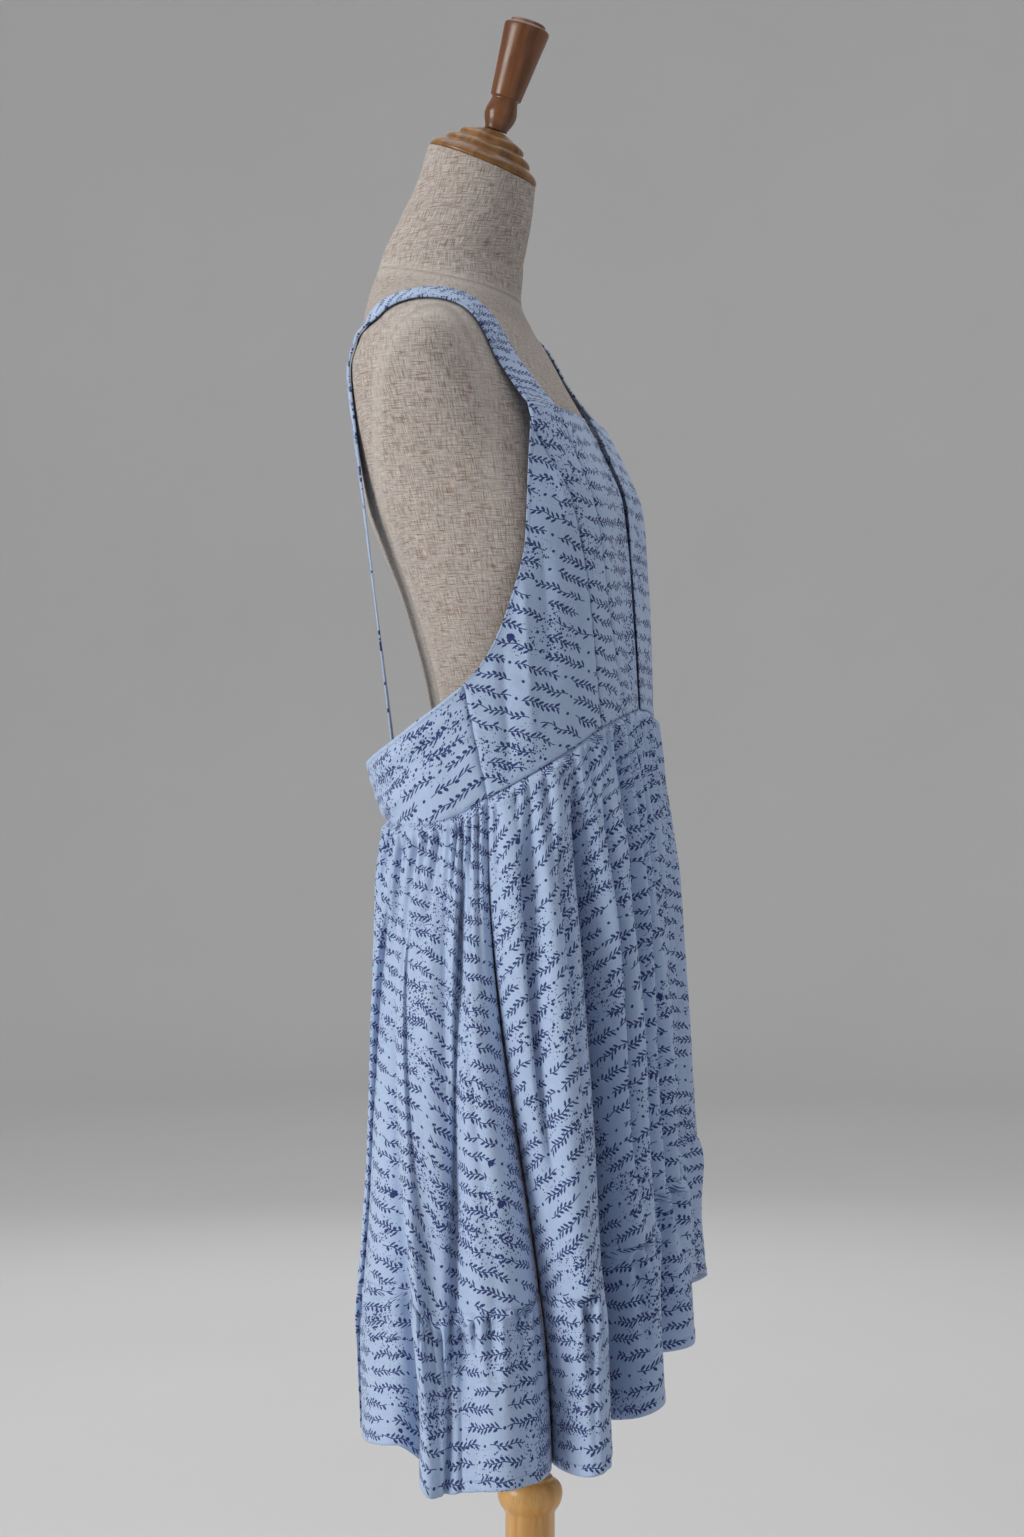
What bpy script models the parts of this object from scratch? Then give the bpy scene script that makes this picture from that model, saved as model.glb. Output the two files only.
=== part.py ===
"""A pinafore dress worn by a limbless linen dress form on a turned wooden stand.

Units are metres and +Z is up. The wearer's front faces -Y and the wearer's left is +X.
The origin is on the floor, on the axis of the pole.
Angles round the garment are in degrees from the centre front and grow towards the wearer's left.
"""

import math
from collections import namedtuple

import bmesh
import bpy
from mathutils import Vector
from mathutils.bvhtree import BVHTree

# Driving dimensions of the cloth
CLOTH = 0.0015
SEAM_GAP = 0.0003
GARMENT_CENTRE = 0.030
BIB_TOP = 1.245
SKIRT_DROP = 0.400
RUFFLE_DROP = 0.130
FRONT_LAP = 0.0035

# Driving dimensions of the straps
STRAP_FRONT_WIDTH = 0.036
STRAP_BACK_WIDTH = 0.027
STRAP_THICKNESS = 0.0020
STRAP_TUCK = 0.028

# Driving dimensions of the form and its stand
NECK_TILT = 22.5
HANDLE_TILT = 18.0
HANDLE_FORWARD = 0.0020
NECK_TOP = (0.0, 0.0430, 1.4690)
NECK_CAP_HEIGHT = 0.0315
TORSO_BASE = 0.700
COLLAR_TOP = 0.330
COLLAR_BASE = 0.300
FOOT_HEIGHT = 0.048

# How finely round shapes and panels are divided
TORSO_SIDES = 36
TURNED_SIDES = 24
COLUMNS_PER_FOLD = 8

TorsoRing = namedtuple(
    "TorsoRing", "height centre half_width front_depth back_depth front_power back_power tilt"
)
TORSO = [
    TorsoRing(0.700, 0.015, 0.152, 0.088, 0.078, 2.2, 2.2, 0),
    TorsoRing(0.735, 0.015, 0.158, 0.094, 0.084, 2.2, 2.2, 0),
    TorsoRing(0.780, 0.015, 0.160, 0.097, 0.086, 2.2, 2.2, 0),
    TorsoRing(0.825, 0.013, 0.155, 0.095, 0.083, 2.2, 2.2, 0),
    TorsoRing(0.870, 0.009, 0.144, 0.090, 0.080, 2.2, 2.2, 0),
    TorsoRing(0.920, 0.004, 0.130, 0.084, 0.078, 2.2, 2.2, 0),
    TorsoRing(0.968, 0.000, 0.122, 0.078, 0.077, 2.2, 2.1, 0),
    TorsoRing(1.010, 0.003, 0.124, 0.077, 0.081, 2.2, 2.1, 0),
    TorsoRing(1.050, 0.010, 0.130, 0.082, 0.084, 2.3, 2.1, 0),
    TorsoRing(1.090, 0.018, 0.138, 0.092, 0.088, 2.5, 2.1, 0),
    TorsoRing(1.125, 0.025, 0.144, 0.102, 0.096, 2.6, 2.1, 0),
    TorsoRing(1.165, 0.032, 0.149, 0.106, 0.1035, 2.5, 2.2, 0),
    TorsoRing(1.205, 0.039, 0.157, 0.101, 0.0990, 2.3, 2.4, 0),
    TorsoRing(1.245, 0.046, 0.167, 0.0895, 0.0935, 2.1, 2.5, 0),
    TorsoRing(1.280, 0.053, 0.171, 0.076, 0.0890, 2.1, 2.4, 0),
    TorsoRing(1.303, 0.057, 0.165, 0.066, 0.0840, 2.3, 2.1, 0),
    TorsoRing(1.320, 0.060, 0.148, 0.059, 0.087, 2.5, 1.6, 0),
    TorsoRing(1.334, 0.062, 0.122, 0.054, 0.084, 2.4, 1.7, 0),
    TorsoRing(1.347, 0.065, 0.094, 0.053, 0.080, 2.2, 1.8, 0),
    TorsoRing(1.361, 0.068, 0.070, 0.057, 0.074, 2.1, 1.9, 1),
    TorsoRing(1.385, 0.0685, 0.056, 0.061, 0.064, 2.0, 2.0, 5),
    TorsoRing(1.411, 0.060, 0.052, 0.057, 0.058, 2.0, 2.0, 12),
    TorsoRing(1.440, 0.0495, 0.050, 0.0525, 0.053, 2.0, 2.0, 19),
    TorsoRing(1.4690, 0.0430, 0.049, 0.0500, 0.0505, 2.0, 2.0, 22.5),
]

# The bodice, as level rings through its outer face
BodiceRing = namedtuple("BodiceRing", "height half_width front back front_power back_power")
BODICE = [
    BodiceRing(0.880, 0.147, -0.1050, 0.1120, 2.3, 2.0),
    BodiceRing(0.903, 0.147, -0.1040, 0.1200, 2.3, 2.0),
    BodiceRing(0.922, 0.147, -0.1030, 0.1340, 2.3, 2.0),
    BodiceRing(0.950, 0.146, -0.1010, 0.1390, 2.4, 2.0),
    BodiceRing(1.000, 0.146, -0.0985, 0.1380, 2.5, 2.0),
    BodiceRing(1.050, 0.147, -0.0955, 0.1360, 2.7, 2.0),
    BodiceRing(1.120, 0.148, -0.0900, 0.1340, 3.0, 2.0),
    BodiceRing(1.170, 0.149, -0.0850, 0.1320, 3.1, 2.0),
    BodiceRing(1.210, 0.150, -0.0690, 0.1300, 3.1, 2.0),
    BodiceRing(1.250, 0.153, -0.0475, 0.1280, 3.2, 2.0),
]

# The waist seam: it runs high at the front and hangs low behind
SeamPoint = namedtuple("SeamPoint", "angle height")
WAIST_SEAM = [
    SeamPoint(0, 0.9945),
    SeamPoint(6, 0.9942),
    SeamPoint(20, 0.990),
    SeamPoint(37, 0.979),
    SeamPoint(51, 0.960),
    SeamPoint(64, 0.940),
    SeamPoint(78, 0.920),
    SeamPoint(90, 0.903),
    SeamPoint(105, 0.895),
    SeamPoint(135, 0.899),
    SeamPoint(180, 0.903),
]

# The upper edge of the back band, from the wearer's right side seam (86) to the left one (274)
BAND_TOP = [
    SeamPoint(86, 1.012),
    SeamPoint(98, 0.990),
    SeamPoint(119, 0.963),
    SeamPoint(140, 0.951),
    SeamPoint(160, 0.9475),
    SeamPoint(180, 0.952),
    SeamPoint(200, 0.961),
    SeamPoint(220, 0.970),
    SeamPoint(241, 0.983),
    SeamPoint(262, 1.000),
    SeamPoint(274, 1.014),
]

# Seam lines of one half of the front, as an angle at each height
SeamLine = namedtuple("SeamLine", "height angle")
INNER_STRAP_SEAM = [
    SeamLine(0.990, 21.0),
    SeamLine(1.022, 25.0),
    SeamLine(1.064, 29.6),
    SeamLine(1.106, 33.0),
    SeamLine(1.147, 36.2),
    SeamLine(1.210, 45.0),
    SeamLine(1.245, 49.0),
]
OUTER_STRAP_SEAM = [
    SeamLine(0.979, 37.0),
    SeamLine(1.010, 38.5),
    SeamLine(1.083, 42.5),
    SeamLine(1.120, 45.0),
    SeamLine(1.170, 50.5),
    SeamLine(1.228, 63.3),
    SeamLine(1.245, 65.0),
]
ARMHOLE_EDGE = [
    SeamLine(1.012, 86.0),
    SeamLine(1.026, 81.0),
    SeamLine(1.044, 76.6),
    SeamLine(1.080, 71.2),
    SeamLine(1.129, 66.6),
    SeamLine(1.188, 65.6),
    SeamLine(1.228, 64.2),
]
SIDE_SEAM_TOP = 86.0
SIDE_SEAM_FOOT = 78.0
SIDE_PANEL_TOP = 1.228
INNER_SEAM_FOOT = 20.0
OUTER_SEAM_FOOT = 37.0
BODICE_ROWS = [0.0, 0.065, 0.15, 0.25, 0.36, 0.48, 0.61, 0.74, 0.87, 1.0]
BAND_ROWS = 3
LAP_WIDTH = 0.008
LAP_ANGLE = -4.4
LEFT_FULLNESS = 0.005

# The skirt between its folds, by the distance down from the waist seam
SkirtRing = namedtuple("SkirtRing", "drop half_width front back right_power left_power fold gather")
SKIRT = [
    SkirtRing(0.000, 0.1460, -0.0985, 0.1185, 2.30, 2.30, 0.0000, 0.0010),
    SkirtRing(0.015, 0.1500, -0.1005, 0.1215, 2.30, 2.30, 0.0010, 0.0024),
    SkirtRing(0.035, 0.1580, -0.1030, 0.1240, 2.30, 2.30, 0.0028, 0.0024),
    SkirtRing(0.065, 0.1680, -0.1080, 0.1255, 2.35, 2.30, 0.0050, 0.0018),
    SkirtRing(0.105, 0.1800, -0.1125, 0.1250, 2.45, 2.30, 0.0075, 0.0012),
    SkirtRing(0.165, 0.1950, -0.1165, 0.1220, 2.60, 2.30, 0.0115, 0.0006),
    SkirtRing(0.240, 0.2120, -0.1165, 0.1175, 2.75, 2.30, 0.0165, 0.0003),
    SkirtRing(0.320, 0.2300, -0.1170, 0.1160, 2.90, 2.30, 0.0205, 0.0001),
    SkirtRing(0.400, 0.2465, -0.1180, 0.1155, 3.00, 2.30, 0.0245, 0.0000),
    SkirtRing(0.530, 0.2630, -0.1180, 0.1050, 3.10, 2.30, 0.0290, 0.0000),
]
SKIRT_BACK_POWER = 2.0
SKIRT_ROWS = [0.0, 0.015, 0.035, 0.065, 0.105, 0.165, 0.240, 0.320, SKIRT_DROP]

# Where the cloth hangs shorter, as a share of the drop at each angle
Hitch = namedtuple("Hitch", "angle share")
HITCH = [
    Hitch(0, 0.050),
    Hitch(28, 0.085),
    Hitch(60, 0.045),
    Hitch(110, 0.015),
    Hitch(170, 0.030),
    Hitch(205, 0.075),
    Hitch(245, 0.085),
    Hitch(266, 0.088),
    Hitch(275, 0.012),
    Hitch(285, 0.0),
    Hitch(302, -0.028),
    Hitch(317, 0.0),
    Hitch(338, 0.030),
    Hitch(360, 0.050),
]

# How far the gathered flounce stands off the skirt above it, by the distance down from its own seam
RuffleRing = namedtuple("RuffleRing", "drop stand_off gather")
RUFFLE = [
    RuffleRing(0.000, 0.0000, 0.0010),
    RuffleRing(0.012, 0.0045, 0.0028),
    RuffleRing(0.035, 0.0065, 0.0028),
    RuffleRing(0.075, 0.0055, 0.0022),
    RuffleRing(RUFFLE_DROP, 0.0060, 0.0018),
]
RUFFLE_ROWS = [0.0, 0.012, 0.035, 0.075, RUFFLE_DROP]

# Valleys between the skirt's folds. Their depths and the ridges after them are shares of the ring's fold.
Valley = namedtuple("Valley", "top_angle hem_angle depth ridge")
FRONT_VALLEYS = [
    Valley(-78, -64.0, 1.05, 1.60),
    Valley(-51, -51.5, 1.05, 1.65),
    Valley(-30, -33.0, 0.90, 1.40),
    Valley(-10, -13.0, 0.70, 0.60),
    Valley(11, 9.0, 0.90, 0.75),
    Valley(31, 30.0, 1.05, 0.85),
    Valley(53, 49.0, 1.10, 1.00),
    Valley(78, 66.0, 1.15, 0.0),
]
BACK_VALLEYS = [
    Valley(78, 66, 1.15, 0.75),
    Valley(98, 92, 0.90, 0.90),
    Valley(117, 115, 0.90, 0.80),
    Valley(138, 138, 0.80, 0.70),
    Valley(160, 161, 0.70, 0.65),
    Valley(183, 184, 0.60, 0.60),
    Valley(206, 208, 0.70, 0.65),
    Valley(227, 231, 0.60, 0.70),
    Valley(248, 270, 1.15, 0.25),
    Valley(270, 279, 0.15, 0.55),
    Valley(282, 296, 1.05, 0.0),
]

# Colours as linear light
CLOTH_BLUE = (0.50, 0.60, 0.78, 1.0)
LINEN = (0.60, 0.54, 0.45, 1.0)
DARK_WOOD = (0.20, 0.09, 0.04, 1.0)
HONEY_WOOD = (0.40, 0.20, 0.06, 1.0)
PALE_WOOD = (0.55, 0.33, 0.14, 1.0)


def mixed(a, b, share):
    return a + (b - a) * share


def eased(share):
    share = min(1.0, max(0.0, share))
    return share * share * (3 - 2 * share)


def read_table(rows, key):
    """The row of a table at this key, on a smooth curve through its rows that never overshoots them."""
    key = min(max(key, rows[0][0]), rows[-1][0])
    last = len(rows) - 1
    i = next(n for n in range(last) if key <= rows[n + 1][0])
    steps = [rows[n + 1][0] - rows[n][0] for n in range(last)]
    share = (key - rows[i][0]) / steps[i]
    values = []
    for column in range(1, len(rows[0])):
        rises = [(rows[n + 1][column] - rows[n][column]) / steps[n] for n in range(last)]
        slopes = []
        for n in (i, i + 1):
            before, after = rises[max(n - 1, 0)], rises[min(n, last - 1)]
            level = before * after <= 0
            slopes.append(0.0 if level else 2 * before * after / (before + after))
        a, b = rows[i][column], rows[i + 1][column]
        turn = share * share * (3 - 2 * share)
        start = share * (1 - share) ** 2 * steps[i] * slopes[0]
        end = share * share * (share - 1) * steps[i] * slopes[1]
        values.append(mixed(a, b, turn) + start + end)
    return type(rows[0])(key, *values)


def ring_radius(angle, half_width, front_depth, back_depth, front_power, back_power):
    """Distance from a ring's centre to its edge, at an angle in radians from the front."""
    across, along = abs(math.sin(angle)), math.cos(angle)
    depth, power = (front_depth, front_power) if along > 0 else (back_depth, back_power)
    return ((across / half_width) ** power + (abs(along) / depth) ** power) ** (-1 / power)


def material(name, colour, roughness):
    made = bpy.data.materials.new(name)
    made.use_nodes = True
    shader = made.node_tree.nodes["Principled BSDF"]
    shader.inputs["Base Color"].default_value = colour
    shader.inputs["Roughness"].default_value = roughness
    shader.inputs["Metallic"].default_value = 0.0
    return made


def new_object(name, bm, finish):
    mesh = bpy.data.meshes.new(name)
    bm.to_mesh(mesh)
    bm.free()
    mesh.materials.append(finish)
    obj = bpy.data.objects.new(name, mesh)
    bpy.context.scene.collection.objects.link(obj)
    return obj


def shade(obj, sharp_angle):
    obj.data.shade_smooth()
    obj.data.set_sharp_from_angle(angle=math.radians(sharp_angle))


def cloth_panel(name, columns, rows, place, finish, thickness=CLOTH):
    """A sheet of cloth. place(u, v) gives its outer face, u round to the wearer's left and v down."""
    bm = bmesh.new()
    bmesh.ops.create_grid(bm, x_segments=columns, y_segments=rows, size=0.5)
    for vert in bm.verts:
        vert.co = place(vert.co.x + 0.5, 0.5 - vert.co.y)
    obj = new_object(name, bm, finish)
    wall = obj.modifiers.new("wall", "SOLIDIFY")
    wall.thickness = thickness
    wall.offset = -1.0
    shade(obj, 50)
    return obj


def turned_piece(name, profile, finish):
    """A lathe-turned piece. profile holds (radius, height) from the foot up, from axis to axis."""
    bm = bmesh.new()
    verts = [bm.verts.new((radius, 0, height)) for radius, height in profile]
    edges = [bm.edges.new(pair) for pair in zip(verts, verts[1:])]
    bmesh.ops.spin(
        bm, geom=verts + edges, cent=(0, 0, 0), axis=(0, 0, 1),
        angle=2 * math.pi, steps=TURNED_SIDES, use_merge=True,
    )
    bmesh.ops.remove_doubles(bm, verts=bm.verts, dist=1e-6)
    bmesh.ops.recalc_face_normals(bm, faces=bm.faces)
    obj = new_object(name, bm, finish)
    shade(obj, 35)
    return obj


def torso_point(ring, angle):
    reach = ring_radius(
        angle, ring.half_width, ring.front_depth, ring.back_depth, ring.front_power, ring.back_power
    )
    tilt = math.radians(ring.tilt)
    along = -reach * math.cos(angle)
    return Vector((
        reach * math.sin(angle),
        ring.centre + along * math.cos(tilt),
        ring.height + along * math.sin(tilt),
    ))


def make_torso(finish):
    """The linen form, from its flat underside at the hips to the tilted top of its neck."""
    bm = bmesh.new()
    rings = []
    for ring in TORSO:
        angles = [2 * math.pi * side / TORSO_SIDES for side in range(TORSO_SIDES)]
        verts = [bm.verts.new(torso_point(ring, angle)) for angle in angles]
        rings.append([bm.edges.new((a, b)) for a, b in zip(verts, verts[1:] + verts[:1])])
    for lower, upper in zip(rings, rings[1:]):
        bmesh.ops.bridge_loops(bm, edges=lower + upper)
    bmesh.ops.holes_fill(bm, edges=rings[0] + rings[-1], sides=0)
    bmesh.ops.recalc_face_normals(bm, faces=bm.faces)
    surface = BVHTree.FromBMesh(bm)
    torso = new_object("form_torso", bm, finish)
    shade(torso, 60)
    return surface


def bodice_point(angle, height, out=0.0):
    """A point on the bodice's outer face, moved out by a distance. The angle is in degrees."""
    ring = read_table(BODICE, height)
    turn = math.radians(angle)
    if 0 < angle < SIDE_SEAM_FOOT:
        out += LEFT_FULLNESS * math.sin(math.pi * angle / SIDE_SEAM_FOOT)
    reach = out + ring_radius(
        turn, ring.half_width, GARMENT_CENTRE - ring.front, ring.back - GARMENT_CENTRE,
        ring.front_power, ring.back_power,
    )
    return Vector((reach * math.sin(turn), GARMENT_CENTRE - reach * math.cos(turn), height))


def waist_height(angle):
    """Height of the waist seam at any angle in degrees."""
    angle = angle % 360
    return read_table(WAIST_SEAM, min(angle, 360 - angle)).height


def gap_angle(distance):
    """Degrees that a distance round the bodice takes, near enough for a seam's gap."""
    return math.degrees(distance / 0.14)


def panel_row(v):
    """How far down the bodice a row of its front panels lies. All of them share these rows, so seams meet."""
    return BODICE_ROWS[round(v * (len(BODICE_ROWS) - 1))]


def strap_seam_angle(seam_line, foot_angle, share):
    """A strap panel's seam, at a share of its way down to the waist."""
    return read_table(seam_line, mixed(BIB_TOP, waist_height(foot_angle), share)).angle


def make_front(finish):
    """The two centre fronts. The wearer's left laps over the right, its free edge a little proud."""
    seam = gap_angle(SEAM_GAP / 2)
    rows = len(BODICE_ROWS) - 1

    def place_right(u, v):
        share = panel_row(v)
        outer = seam - strap_seam_angle(INNER_STRAP_SEAM, INNER_SEAM_FOOT, share)
        angle = mixed(outer, LAP_ANGLE + gap_angle(LAP_WIDTH), u)
        return bodice_point(angle, mixed(BIB_TOP, waist_height(angle), share))

    def place_left(u, v):
        share = panel_row(v)
        outer = strap_seam_angle(INNER_STRAP_SEAM, INNER_SEAM_FOOT, share) - seam
        angle = mixed(LAP_ANGLE, outer, u)
        lift = eased((0.50 - u) / 0.30) * mixed(FRONT_LAP, CLOTH + SEAM_GAP, eased(share))
        return bodice_point(angle, mixed(BIB_TOP, waist_height(angle), share), lift)

    cloth_panel("front_right", 6, rows, place_right, finish)
    cloth_panel("front_left", 6, rows, place_left, finish)


def make_strap_panel(name, side, finish):
    """The strip that runs on down from a strap to the waist. side is -1 on the wearer's right."""
    seam = gap_angle(SEAM_GAP / 2)

    def place(u, v):
        share = panel_row(v)
        inner = strap_seam_angle(INNER_STRAP_SEAM, INNER_SEAM_FOOT, share) + seam
        outer = strap_seam_angle(OUTER_STRAP_SEAM, OUTER_SEAM_FOOT, share) - seam
        angle = mixed(inner, outer, u if side > 0 else 1 - u)
        return bodice_point(side * angle, mixed(BIB_TOP, waist_height(angle), share))

    cloth_panel(name, 3, len(BODICE_ROWS) - 1, place, finish)


def side_seam_point(share, side):
    """The side seam's angle in degrees and its height, from the band's top down to the waist."""
    top = read_table(BAND_TOP, SIDE_SEAM_TOP if side < 0 else 360 - SIDE_SEAM_TOP).height
    return mixed(SIDE_SEAM_TOP, SIDE_SEAM_FOOT, share), mixed(top, waist_height(SIDE_SEAM_FOOT), share)


def make_side_panel(name, side, finish):
    """The side of the bodice, from the strap panel to the armhole's edge and the side seam."""
    seam = gap_angle(SEAM_GAP / 2)
    rows = len(BODICE_ROWS) - 2
    armhole = 1 - BAND_ROWS / rows

    def place(u, v):
        outer_share = u if side > 0 else 1 - u
        share = BODICE_ROWS[1 + round(v * rows)]
        inner = strap_seam_angle(OUTER_STRAP_SEAM, OUTER_SEAM_FOOT, share) + seam
        inner_height = mixed(BIB_TOP, waist_height(inner), share)
        if v < armhole:
            outer_height = mixed(SIDE_PANEL_TOP, side_seam_point(0, side)[1], v / armhole)
            outer = read_table(ARMHOLE_EDGE, outer_height).angle
        else:
            outer, outer_height = side_seam_point((v - armhole) / (1 - armhole), side)
        angle = mixed(inner, outer - seam, outer_share)
        chord = mixed(waist_height(OUTER_SEAM_FOOT), waist_height(SIDE_SEAM_FOOT), outer_share)
        seam_line = waist_height(mixed(OUTER_SEAM_FOOT, SIDE_SEAM_FOOT, outer_share))
        height = mixed(inner_height, outer_height, outer_share) + eased(v) * (seam_line - chord)
        return bodice_point(side * angle, height)

    cloth_panel(name, 6, rows, place, finish)


def make_back_band(finish):
    """The back of the bodice: one deep curved band from side seam to side seam."""
    seam = gap_angle(SEAM_GAP / 2)

    def place(u, v):
        top = mixed(SIDE_SEAM_TOP + seam, 360 - SIDE_SEAM_TOP - seam, u)
        low = mixed(SIDE_SEAM_FOOT + seam, 360 - SIDE_SEAM_FOOT - seam, u)
        height = mixed(read_table(BAND_TOP, 360 - top).height, waist_height(low), v)
        return bodice_point(mixed(top, low, v), height)

    cloth_panel("back_band", 36, BAND_ROWS, place, finish)


def skirt_face(valleys, along, drop, stand_off=0.0, ripple=0.0):
    """A point on a skirt panel's outer face. along counts folds from the panel's first valley."""
    ring = read_table(SKIRT, drop)
    first = min(int(along), len(valleys) - 2)
    share = along - first
    here, following = valleys[first], valleys[first + 1]
    lean = eased(drop / (SKIRT_DROP + RUFFLE_DROP))
    angle = mixed(
        mixed(here.top_angle, here.hem_angle, lean),
        mixed(following.top_angle, following.hem_angle, lean),
        share,
    )
    turn = math.radians(angle)
    hollow = mixed(here.depth, following.depth, eased(share))
    crest = max(0.0, math.sin(math.pi * share)) ** 0.75
    fold = ring.fold * ((hollow + here.ridge) * crest - hollow)
    reach = stand_off + ripple + fold + ring_radius(
        turn, ring.half_width, GARMENT_CENTRE - ring.front, ring.back - GARMENT_CENTRE,
        ring.left_power if math.sin(turn) > 0 else ring.right_power, SKIRT_BACK_POWER,
    )
    hitch = read_table(HITCH, angle % 360).share
    height = waist_height(angle) - 2 * SEAM_GAP - drop * (1 - hitch)
    return Vector((reach * math.sin(turn), GARMENT_CENTRE - reach * math.cos(turn), height))


def inside_seams(share, folds):
    """Keeps a panel's two side edges half a seam's gap short of its neighbour."""
    edge = 0.0025
    return min(max(share * folds, edge), folds - edge)


def gather_side(column):
    """Gathers fall one out, one in, from column to column."""
    return 1 if column % 2 else -1


def make_skirt_panel(name, valleys, finish):
    """One gathered panel of the skirt, between the side seams."""
    folds = len(valleys) - 1
    columns = folds * COLUMNS_PER_FOLD

    def place(u, v):
        drop = SKIRT_ROWS[round(v * (len(SKIRT_ROWS) - 1))]
        ripple = gather_side(round(u * columns)) * read_table(SKIRT, drop).gather
        return skirt_face(valleys, inside_seams(u, folds), drop, ripple=ripple)

    cloth_panel(name, columns, len(SKIRT_ROWS) - 1, place, finish)


def make_ruffle_panel(name, valleys, finish):
    """One half of the gathered flounce that finishes the skirt."""
    folds = len(valleys) - 1
    columns = folds * COLUMNS_PER_FOLD

    def place(u, v):
        ring = read_table(RUFFLE, RUFFLE_ROWS[round(v * (len(RUFFLE_ROWS) - 1))])
        ripple = gather_side(round(u * columns)) * ring.gather
        drop = SKIRT_DROP + 2 * SEAM_GAP + ring.drop
        return skirt_face(valleys, inside_seams(u, folds), drop, ring.stand_off, ripple)

    cloth_panel(name, columns, len(RUFFLE_ROWS) - 1, place, finish)


def over_the_shoulder(surface, x, swing):
    """Where a level-to-level swing over the shoulder meets the form, and the form's normal there."""
    turn = math.radians(swing)
    pivot = Vector((x, 0.052, 1.245))
    hit, normal, _, _ = surface.ray_cast(pivot, Vector((0, -math.cos(turn), math.sin(turn))))
    return hit, normal


StrapStation = namedtuple("StrapStation", "share middle width swing clear")
STRAP_OVER_SHOULDER = [
    StrapStation(0.00, 0.1025, STRAP_FRONT_WIDTH, 0, 0.0060),
    StrapStation(0.08, 0.1055, 0.0340, 17, 0.0036),
    StrapStation(0.20, 0.1090, 0.0310, 42, 0.0026),
    StrapStation(0.32, 0.1110, 0.0285, 72, 0.0024),
    StrapStation(0.44, 0.1120, STRAP_BACK_WIDTH, 104, 0.0024),
    StrapStation(0.56, 0.1115, STRAP_BACK_WIDTH, 138, 0.0026),
    StrapStation(0.67, 0.1105, STRAP_BACK_WIDTH, 172, 0.0024),
]
STRAP_FOOT_ANGLE = 122.5
STRAP_BEND_ABOVE = 0.006
STRAP_COLUMNS = 2
STRAP_ROWS = 36
STRAP_BEND_SHARE = 33 / STRAP_ROWS
STRAP_HANGING_TURN = 14.0


def make_strap(name, side, surface, finish):
    """A strap from the bib over the shoulder, hanging free behind and tucked inside the back band."""
    stations = STRAP_OVER_SHOULDER
    leaving = stations[-1].share
    foot_angle = STRAP_FOOT_ANGLE if side < 0 else 360 - STRAP_FOOT_ANGLE
    band_edge = read_table(BAND_TOP, foot_angle).height

    def on_form(station, across):
        x = station.middle + across * station.width
        hit, normal = over_the_shoulder(surface, x, station.swing)
        return hit + normal * (station.clear + STRAP_THICKNESS)

    def at_bib(across):
        angle = mixed(INNER_STRAP_SEAM[-1].angle, OUTER_STRAP_SEAM[-1].angle, 0.5 + across)
        start = bodice_point(side * angle, BIB_TOP + STRAP_THICKNESS)
        return Vector((side * start.x, start.y, start.z))

    def at_band(across, width_turn, above, inside):
        """A point of the strap at the band, across its width turned from level, by the band's inner face."""
        outer = bodice_point(STRAP_FOOT_ANGLE - gap_angle(STRAP_BACK_WIDTH / 2), band_edge + above, inside)
        reach = (across - 0.5) * STRAP_BACK_WIDTH
        return outer + Vector((reach * math.cos(width_turn), -reach * math.sin(width_turn), 0))

    def place(u, v):
        across = (0.5 - u) * side
        inside = -CLOTH - 4 * SEAM_GAP
        if v <= leaving:
            point = on_form(read_table(stations, v), across)
            point = at_bib(across).lerp(point, eased(v / stations[2].share))
        elif v <= STRAP_BEND_SHARE:
            edge = at_band(across, math.radians(STRAP_HANGING_TURN), STRAP_BEND_ABOVE, inside - SEAM_GAP)
            hanging = (v - leaving) / (STRAP_BEND_SHARE - leaving)
            point = on_form(stations[-1], across).lerp(edge, hanging)
        else:
            edge = at_band(across, math.radians(STRAP_HANGING_TURN), STRAP_BEND_ABOVE, inside - SEAM_GAP)
            angle = STRAP_FOOT_ANGLE - gap_angle(across * STRAP_BACK_WIDTH)
            foot = bodice_point(angle, band_edge - STRAP_TUCK, inside)
            point = edge.lerp(foot, (v - STRAP_BEND_SHARE) / (1 - STRAP_BEND_SHARE))
        return Vector((side * point.x, point.y, point.z))

    cloth_panel(name, STRAP_COLUMNS, STRAP_ROWS, place, finish, STRAP_THICKNESS)


def make_neck_and_handle(dark, honey):
    """The stepped wooden cap on the neck and the turned handle on it, both leaning with the neck."""
    cap = turned_piece("neck_cap", [
        (0, SEAM_GAP), (0.0495, SEAM_GAP), (0.0500, 0.0026), (0.0470, 0.0075), (0.0400, 0.0110),
        (0.0390, 0.0137), (0.0370, 0.0168), (0.0310, 0.0195), (0.0300, 0.0226), (0.0270, 0.0257),
        (0.0200, 0.0288), (0.0130, NECK_CAP_HEIGHT), (0, NECK_CAP_HEIGHT),
    ], honey)
    foot = NECK_CAP_HEIGHT + 3 * SEAM_GAP
    handle = turned_piece("neck_handle", [
        (0, foot), (0.0100, foot), (0.0112, foot + 0.004), (0.0139, foot + 0.010), (0.0143, foot + 0.015),
        (0.0136, foot + 0.021), (0.0122, foot + 0.0265), (0.0120, foot + 0.0275), (0.0137, foot + 0.0290),
        (0.0203, foot + 0.0870), (0.0205, foot + 0.0905), (0.0188, foot + 0.0930), (0.0166, foot + 0.0938),
        (0.0160, foot + 0.0962), (0, foot + 0.0970),
    ], dark)
    for piece, tilt, forward in ((cap, NECK_TILT, 0), (handle, HANDLE_TILT, HANDLE_FORWARD)):
        piece.location = Vector(NECK_TOP) - Vector((0, forward, 0))
        piece.rotation_euler = (math.radians(tilt), 0, 0)


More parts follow.
